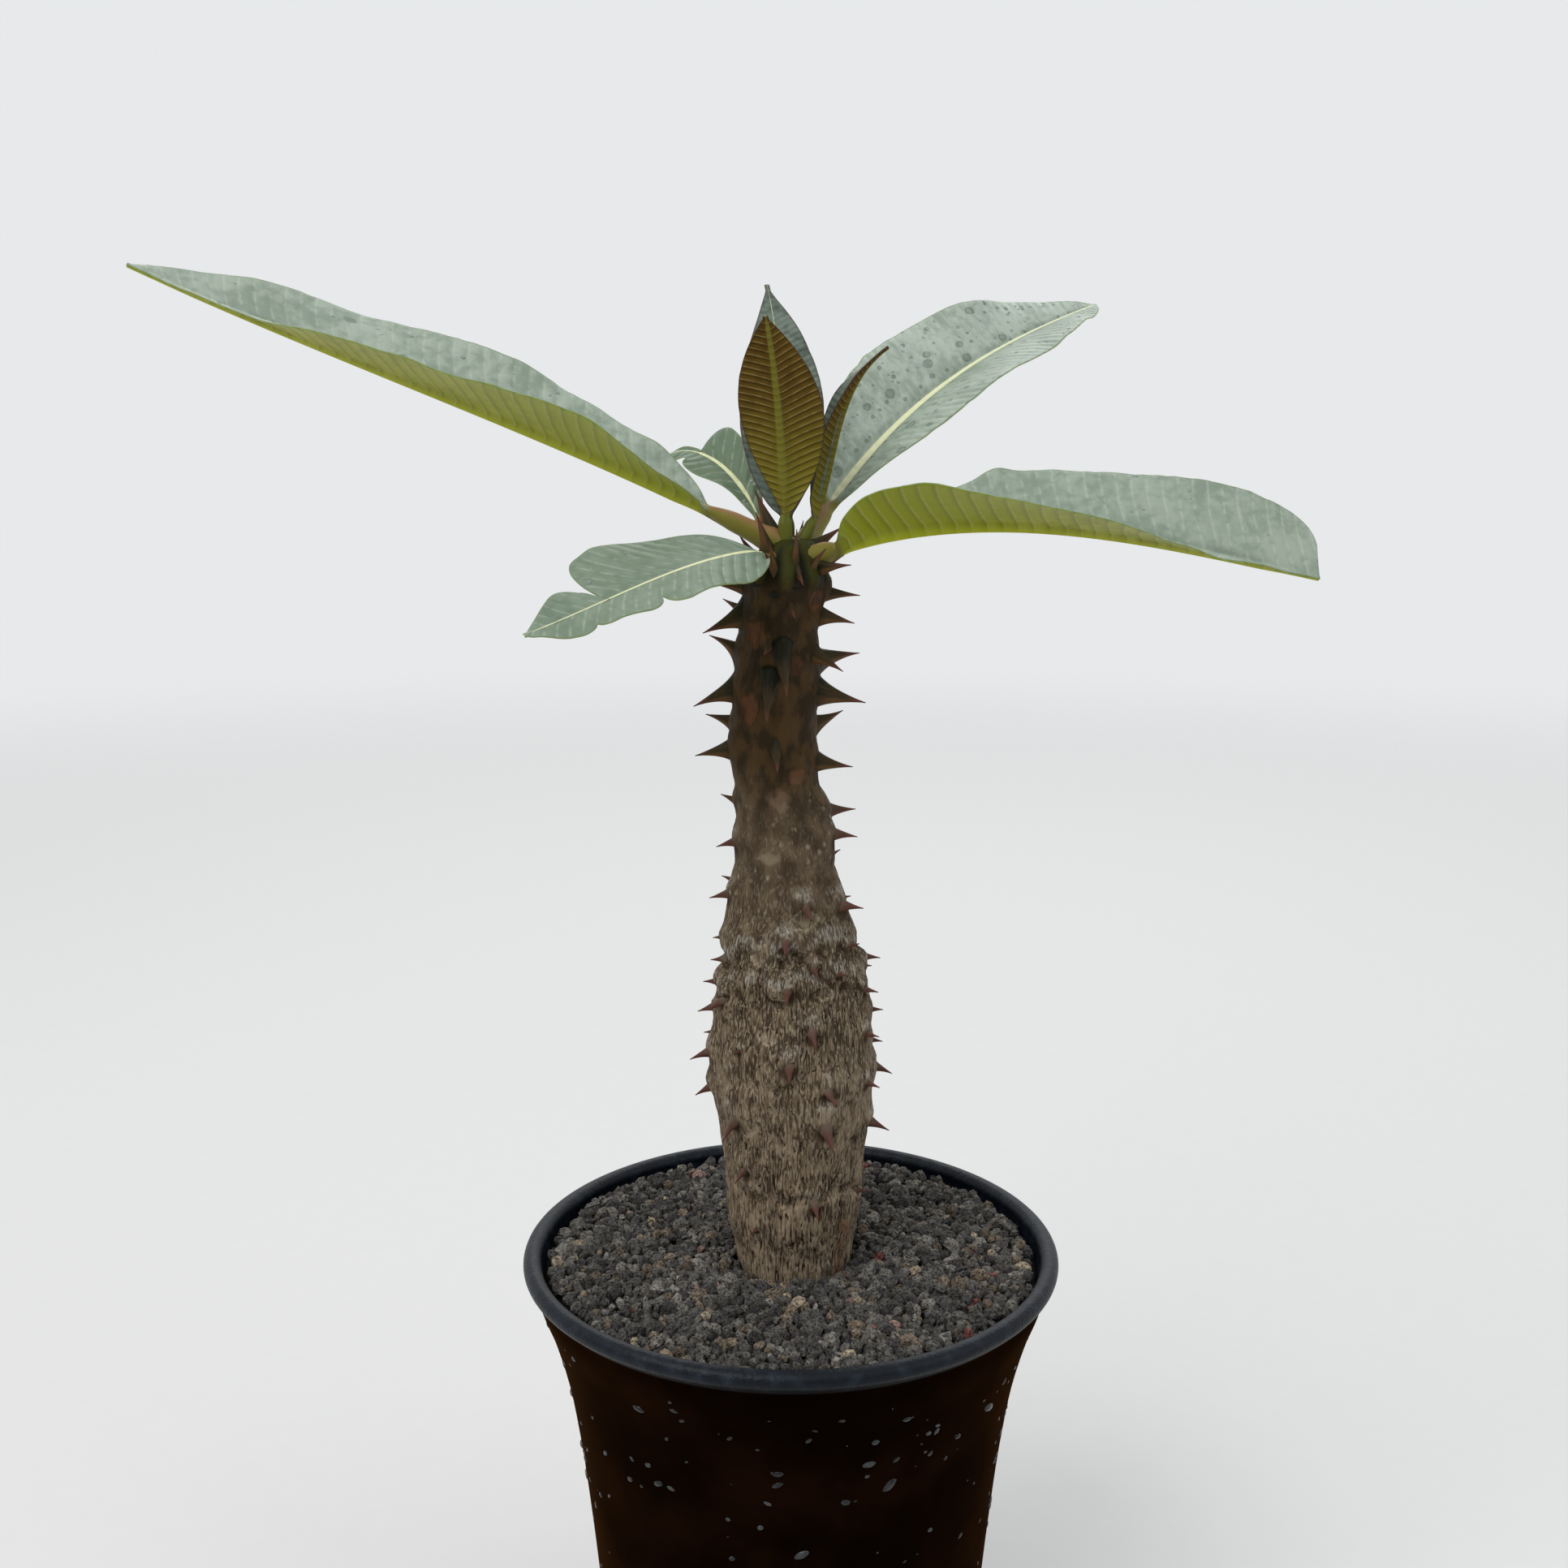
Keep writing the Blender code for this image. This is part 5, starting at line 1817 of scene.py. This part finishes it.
@dataclass
class LeafBuilder:
    """Builds a leaf's skin from its outline and bend, with ribs, quilting and a thin margin."""

    form: TrunkForm
    thickness: float = 0.50 * MM
    margin_thickness: float = 0.28 * MM
    rib_at_tip: float = 0.35
    foot_spread: float = 0.35
    rib_depth: float = 0.6
    rib_share: float = 0.35
    rib_clear: float = 0.25
    lanes: tuple = (0.62, 0.3, 0.0, -0.3, -0.62)  # columns over the midrib, in its half widths
    tip_half_width: float = 0.5 * MM
    fold_width: float = 2.5 * MM
    fold_spread: float = 0.2
    ripple_width: float = 0.4
    ripple_turn: float = 1.3
    opening_length: float = 0.8
    quilt: tuple = (0.06 * MM, 0.09 * MM)  # height on a grown and on a young leaf
    small_wave: float = 0.35 * MM
    edge_width: float = 0.9 * MM  # of the coloured margin
    drop_sizes: tuple = (0.20 * MM, 0.50 * MM)  # least and most half width
    root: float = 6.0 * MM  # of each stalk inside the crown
    columns: int = 17  # on each half of each face
    seed: int = 31
    materials: dict = field(default_factory=dict)
    drops: list = field(default_factory=list)

    def frame(self, leaf: Leaf, s: Array) -> tuple[Array, Array, Array]:
        """The midrib and the directions beside it.

        The midrib runs from the foot, both ways, by steps along its pitch and bearing, and is
        moved aside and down by exp(-s length/reach) near the foot. Left is level and square to
        it, up is square to both, and the roll turns the two.

        Args:
            leaf: The leaf.
            s: Shares of its length.

        Returns:
            Points of the midrib, and the left and upward directions there.
        """
        pitch = np.radians(bend(leaf.pitch, s))
        bearing = np.radians(leaf.bearing + leaf.sweep * s)
        roll = np.radians(bend(leaf.roll, s))[:, None]
        level, turn = about_axis(1.0, bearing, 0.0), math.radians(leaf.bearing)
        outward = np.array([math.cos(turn), math.sin(turn), 0.0])
        along = level * np.cos(pitch)[:, None] + np.outer(np.sin(pitch), UP)
        left = np.stack([-np.sin(bearing), np.cos(bearing), np.zeros_like(s)], 1)
        up = np.cross(along, left)
        step = np.diff(s)[:, None] * leaf.length * MM
        path = np.vstack([np.zeros(3), np.cumsum((along[1:] + along[:-1]) / 2 * step, 0)])
        path = path - path[np.argmin(np.abs(s))]
        aside, below, reach = leaf.astray
        astray = np.exp(-np.maximum(s, 0) * leaf.length / reach)[:, None] * MM
        path = path + astray * (aside * left - below * UP)
        height = leaf.height * MM
        lean = float(self.form.radius_and_lean(height)[1][0])
        foot = outward * leaf.foot * MM + (lean, 0.0, self.form.soil_level + height)
        return (
            foot + path,
            left * np.cos(roll) + up * np.sin(roll),
            up * np.cos(roll) - left * np.sin(roll),
        )

    def stalk_radius(self, leaf: Leaf, s: Array) -> Array:
        """Radius of the stalk, which spreads at its foot, and beyond it of the rib.

        Args:
            leaf: The leaf.
            s: Shares of its length.

        Returns:
            Radii.
        """
        s = np.maximum(s, 0)
        spread = 1 + (0.0 if leaf.young else self.foot_spread) * np.exp(-s * leaf.length / 3.0)
        return leaf.stalk_radius * MM * (1 - (1 - self.rib_at_tip) * s) * spread

    def width(self, leaf: Leaf, s: Array, side: int, rng: Random) -> Array:
        """Half width of the blade on one side.

        It is most (t/p)^base ((1-t)/(1-p))^tip, which peaks at p = base/(base + tip), with a
        quarter circle on each side of each notch, and a slightly uneven edge.

        Args:
            leaf: The leaf.
            s: Shares of its length.
            side: 1 for its left and -1 for its right.
            rng: Source of the uneven edge.

        Returns:
            Half widths.
        """
        t = np.clip((s - leaf.stalk) / (1 - leaf.stalk), 0, 1)
        most, base, tip = leaf.left if side > 0 else leaf.right
        peak = base / (base + tip)
        width = most * MM * (t / peak) ** base * ((1 - t) / (1 - peak)) ** tip
        for notch_side, start, end, slope, depth in leaf.notches:
            if notch_side == side:
                inside = np.clip(np.minimum(t - start, end - t) / slope, 0, 1)
                width = width * (1 - depth * (1 - np.sqrt(1 - inside**2)))
        uneven = value_noise(s, s * 0, max(8, int(leaf.length / 4)), 1, rng)
        uneven += 0.5 * value_noise(s, s * 0, max(8, int(leaf.length / 1.6)), 1, rng)
        return np.maximum(width * (1 + 0.012 * uneven * ease((1 - s) / 0.1)), self.tip_half_width)

    def half(self, leaf: Leaf, s: Array, side: int, width: Array, rng: Random) -> tuple[Array, Array, Array]:
        """One half of the blade, over stations and over shares of its width from rib to edge.

        A point lies at its reach from the midrib on a plane lifted by the fold, and is raised
        by the edge's waves, by curls, and by quilting: a cosine across the side veins. The
        faces lie half a thickness above and below it.

        Args:
            leaf: The leaf.
            s: Shares of its length.
            side: 1 for its left and -1 for its right.
            width: Half width at each station.
            rng: Source of the small waves of the edge.

        Returns:
            The upper face, the edge and the lower face. The last axis holds the place across
            the midrib, the place above it and the reach from it.
        """
        share = (np.linspace(0, 1, self.columns) ** 0.85)[None]
        s, width = s[:, None], width[:, None]
        rib = np.minimum(self.stalk_radius(leaf, s), self.rib_share * width)
        reach = rib + (width - rib) * share
        fold = leaf.fold[0] + (leaf.fold[1] - leaf.fold[0]) * s
        angle = np.radians(fold * (1 + self.fold_spread * (1 - share)))
        angle = angle * np.clip(width / self.fold_width, 0, 1)
        height, waves = leaf.ripple
        wave = height * MM * share**2 * np.sin(TAU * waves * s + self.ripple_turn * side)
        small = value_noise(s, share * 0, max(6, int(leaf.length / 7)), 1, rng)
        wave = wave + self.small_wave * small * share**3 * (0.5 if leaf.young else 1.0)
        wave = wave * np.clip(width / (self.ripple_width * leaf.left[0] * MM), 0, 1)
        for curl_side, place, length, rise in leaf.curls:
            if curl_side == side:
                wave = wave + rise * MM * hump(s - place, length) * share**3
        lead = reach * (1 - 10 * reach * leaf.finish.arch) * leaf.slant
        line = (s * leaf.length * MM - lead) / leaf.finish.spacing
        quilt = self.quilt[leaf.young] * np.cos(TAU * line)
        wave = wave + quilt * ease(share * 5) * ease((1 - share) * 6) * ease(width / (3 * MM) - 0.3)
        thick = self.margin_thickness + (self.thickness - self.margin_thickness) * (1 - share) ** 1.5
        across, rise = reach * np.cos(angle), reach * np.sin(angle) + wave
        shift, lift = thick / 2 * np.sin(angle), thick / 2 * np.cos(angle)
        inner = np.maximum(across - shift, self.rib_clear * rib)
        top = np.stack([side * inner, rise + lift, side * reach], -1)
        bottom = np.stack([side * (across + shift), rise - lift, side * reach], -1)
        rim = np.stack([side * (across + 0.3 * thick), rise, side * reach], -1)[:, -1:]
        return top, rim, bottom

    def build(self, leaf: Leaf) -> None:
        """Lays the two faces, the margins and the midrib as one closed grid round the leaf.

        The columns run from the left margin over the top to the right one, and back under
        the midrib. In the stalk they lie on a circle.

        Args:
            leaf: The leaf.
        """
        rng = np.random.default_rng(self.seed + int(leaf.length * 10))
        s = np.linspace(0, 1, 150 if leaf.young else int(leaf.length * 1.55) + 20)
        s = np.concatenate([np.linspace(-self.root / (leaf.length * MM), 0, 9)[:-1], s])
        middle, left, up = self.frame(leaf, s)
        widths, halves = {}, {}
        for side in (1, -1):
            widths[side] = self.width(leaf, s, side, rng)
            halves[side] = self.half(leaf, s, side, widths[side], rng)
        (left_top, left_rim, left_bottom), (right_top, right_rim, right_bottom) = halves[1], halves[-1]
        radius = self.stalk_radius(leaf, s)
        rib = np.minimum(radius, self.rib_share * np.minimum(widths[1], widths[-1]))
        lane = np.array(self.lanes)
        beside = rib[:, None] * lane
        swell = 0.10 * MM * (1 - lane**2) * np.clip(radius / (1.2 * MM), 0, 1)[:, None]
        deep = (self.rib_depth * radius)[:, None] * np.sqrt(1 - (lane / 1.02) ** 2)
        ridge = np.stack([beside, self.thickness / 2 + swell, beside], -1)
        keel = np.stack([beside, -self.thickness / 2 - deep, beside], -1)
        strips = [
            left_rim, left_top[:, ::-1], ridge, right_top,
            right_rim, right_bottom[:, ::-1], keel[:, ::-1], left_bottom,
        ]
        flat = np.concatenate(strips, 1)
        rows, total = flat.shape[:2]
        turn = (np.arange(total) + 0.5) * TAU / total
        opened = ease((s / leaf.stalk - leaf.opening) / self.opening_length)[:, None]
        across = radius[:, None] * np.cos(turn) * (1 - opened) + flat[..., 0] * opened
        rise = radius[:, None] * np.sin(turn) * (1 - opened) + flat[..., 1] * opened
        points = middle[:, None] + across[..., None] * left[:, None] + rise[..., None] * up[:, None]
        onward = unit(np.gradient(middle, axis=0))
        points += (leaf.swept * np.abs(flat[..., 2]) * opened)[..., None] * onward[:, None]
        ends = np.vstack([points.reshape(-1, 3), points[0].mean(0), points[-1].mean(0)])
        piece = make_piece(leaf.name.replace("leaf_", "blade_"), ends, tube_faces(rows, total))
        self.dress(piece, leaf, s, flat[..., 2], widths, rib, opened)
        self.gather_drops(leaf, points)

    def dress(
        self,
        piece: Piece,
        leaf: Leaf,
        s: Array,
        reach: Array,
        widths: dict[int, Array],
        rib: Array,
        opened: Array,
    ) -> None:
        """Stores what the leaf's material reads, and dresses the leaf.

        Args:
            piece: The leaf's piece.
            leaf: The leaf.
            s: Shares of its length, one for each station.
            reach: Signed distance of each point from the midrib.
            widths: Half width of each half at each station.
            rib: Half width of the midrib at each station.
            opened: 0 in the stalk and 1 in the blade, at each station.
        """
        face = 2 * self.columns + len(self.lanes)
        upper = np.concatenate([[0.5], np.ones(face), [0.5], np.zeros(face)])[None]
        edge = np.where(reach > 0, widths[1][:, None], widths[-1][:, None])
        line = rib * (0.55 - 0.30 * s) * leaf.pale_rib
        values = {
            "upper": upper,
            "rib": 10 * np.maximum(np.where(upper > 0.5, line[:, None], rib[:, None] * 0.75), 0.01 * MM),
            "margin": (1 - (edge - np.abs(reach)) / self.edge_width).clip(0, 1) * opened,
            "stalk": 1 - opened,
            "along": s[:, None],
            "slant": np.array(leaf.slant),
            "deep": np.where(reach > 0, *leaf.deep),
            "wet": np.array(leaf.wet),
        }
        paint_tube(piece, reach.shape, values)
        length = leaf.length * MM
        station = np.broadcast_to(s[:, None] * length, reach.shape)
        places = np.stack([reach, station], -1).reshape(-1, 2)
        paint_map(piece, "Blade", 10 * np.vstack([places, (0.0, 0.0), (0.0, length)]))
        if leaf.slot not in self.materials:
            self.materials[leaf.slot] = leaf.finish.material()
        settle(piece, self.materials[leaf.slot], leaf.slot, leaf.name)

    def gather_drops(self, leaf: Leaf, points: Array) -> None:
        """Picks places on the upper face, with the directions there, for drops of water.

        Args:
            leaf: The leaf.
            points: Its skin, by station and by column.
        """
        rng = np.random.default_rng(self.seed + int(leaf.height * 7))
        rows = rng.integers(int(len(points) * 0.22), int(len(points) * 0.93), leaf.drops)
        half = rng.integers(0, 2, leaf.drops) * (self.columns + len(self.lanes) + 2)
        columns = rng.integers(4, self.columns - 3, leaf.drops) + half
        here = points[rows, columns]
        along = unit(points[rows + 1, columns] - here)
        normal = unit(np.cross(points[rows, columns + 1] - here, along))
        size = rng.uniform(*self.drop_sizes, leaf.drops)[:, None]
        frames = np.stack([along * size * 1.2, np.cross(normal, along) * size, normal * size * 0.5], 1)
        self.drops.append((here, frames))

    def build_drops(self) -> None:
        """Lays the gathered drops on the leaves as low domes, pale as painted glints."""
        centres = np.vstack([here for here, _ in self.drops])
        frames = np.vstack([frame for _, frame in self.drops])
        points, faces = scatter(*dome(), centres, frames)
        piece = make_piece("leaf_drops", points, faces)
        # pale grey-green drops: painted glints
        finish = WaterFinish("drop_on_leaf_glint", (0.30, 0.36, 0.33), (0.46, 0.52, 0.49), 0.6)
        settle(piece, finish.material(), Slot.LEAF)


# ------------------------ studio


@dataclass
class Studio:
    """Pale floor, soft light and the camera at the photograph's angle."""

    floor_radius: float = 3.0
    floor_grid: tuple = (24, 96)  # rings and sides
    floor: Colour = (0.60, 0.60, 0.595)
    sky: Colour = (0.80, 0.815, 0.825)
    room: Colour = (0.36, 0.355, 0.35)
    camera_place: tuple = (-0.00153, -0.362, 0.2946)
    camera_down: float = 10.15  # degrees below the horizon
    lens: float = 39.13
    sensor: float = 36.0

    def build(self) -> None:
        """Sets the floor, the sky, the lights and the camera."""
        self.build_floor()
        self.build_sky()
        self.build_light("key", (-0.9, -1.0, 1.5), (1.3, 1.0), 20.0, (1.0, 0.985, 0.96))
        self.build_light("fill", (1.3, -0.7, 0.9), (1.0, 1.2), 5.0, (0.95, 0.98, 1.0))
        self.build_light("rim", (0.2, 1.3, 1.3), (1.6, 0.8), 9.0, (0.97, 0.99, 1.0))
        self.build_camera()
        log.info("studio: floor, sky, three lights and the camera")

    def build_floor(self) -> None:
        """A disc, in rings whose radius grows by steps, that fades into the sky far out."""
        rings, sides = self.floor_grid
        radius = np.geomspace(0.02, self.floor_radius, rings)[:, None]
        points = about_axis(radius, np.arange(sides) * TAU / sides, 0.0).reshape(-1, 3)
        faces = [grid_faces(rings, sides)[:, ::-1], fan_faces(np.arange(sides), len(points), True)]
        floor = make_piece("studio_floor", np.vstack([points, 0 * UP]), faces)
        n = Nodes("studio_floor")
        length = n.add("ShaderNodeVectorMath", {"operation": "LENGTH"}, {0: n.place()}, "Value")
        grain = n.noise(n.place(), 8 * MM, 3)
        pale = tuple(part * 1.03 for part in self.floor)
        colour = n.blend(grain, self.floor, pale)
        solid = n.principled(Base_Color=colour, Roughness=0.7)
        clear = n.add("ShaderNodeBsdfTransparent")
        floor.data.materials.append(n.done(n.mixed(length.rise(0.55, 2.4), solid, clear)))

    def build_sky(self) -> None:
        """A pale sky behind and above, and a dimmer room on the viewer's side."""
        world = bpy.data.worlds.new("studio")
        n = Nodes("studio", world)
        direction = n.add("ShaderNodeTexCoord", output="Generated")
        behind = n.part(direction, "Y").rise(-0.45, 0.10)
        above = n.part(direction, "Z").rise(0.30, 0.80)
        colour = n.blend(behind.most(above), self.room, self.sky)
        background = n.add("ShaderNodeBackground", inputs={"Color": colour})
        n.add("ShaderNodeOutputWorld", inputs={"Surface": background}, output=None)
        bpy.context.scene.world = world

    def build_light(self, name: str, place: tuple, size: tuple, power: float, colour: Colour) -> None:
        """A soft rectangular light aimed at the plant.

        Args:
            name: Its name.
            place: Its centre.
            size: Width and height.
            power: In watts.
            colour: Of its light.
        """
        light = bpy.data.lights.new(name, "AREA")
        light.shape = "RECTANGLE"
        light.size, light.size_y = size
        light.energy = power
        light.color = colour
        lamp = bpy.data.objects.new(name, light)
        lamp.location = place
        aim = Vector((0.0, 0.0, 0.18)) - Vector(place)
        lamp.rotation_euler = aim.to_track_quat("-Z", "Y").to_euler()
        bpy.context.scene.collection.objects.link(lamp)

    def build_camera(self) -> None:
        """The camera that took the photograph, worked out from the pot's rim."""
        lens = bpy.data.cameras.new("camera")
        lens.lens, lens.sensor_width, lens.sensor_height = self.lens, self.sensor, self.sensor
        lens.clip_start = 0.01
        camera = bpy.data.objects.new("camera", lens)
        camera.location = self.camera_place
        camera.rotation_euler = (math.radians(90.0 - self.camera_down), 0.0, 0.0)
        bpy.context.scene.collection.objects.link(camera)
        bpy.context.scene.camera = camera


def corners(bounds: tuple) -> list:
    """A box as plain lists of numbers."""
    return [[float(part) for part in corner] for corner in bounds]


def main() -> None:
    """Builds the pieces in order."""
    logging.basicConfig(level=logging.INFO, format="%(name)s: %(message)s")
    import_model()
    bpy.context.scene.view_settings.view_transform = "Standard"
    Studio().build()
    form, pot = TrunkForm(), Pot()
    pot.build()
    PotDrops(pot).build()
    Gravel(pot, form).build()
    spines = Spines(form)
    spines.build()
    Bark(form, spines).build()
    builder = LeafBuilder(form)
    for leaf in LEAVES:
        builder.build(leaf)
    builder.build_drops()


if __name__ == "__main__":
    main()
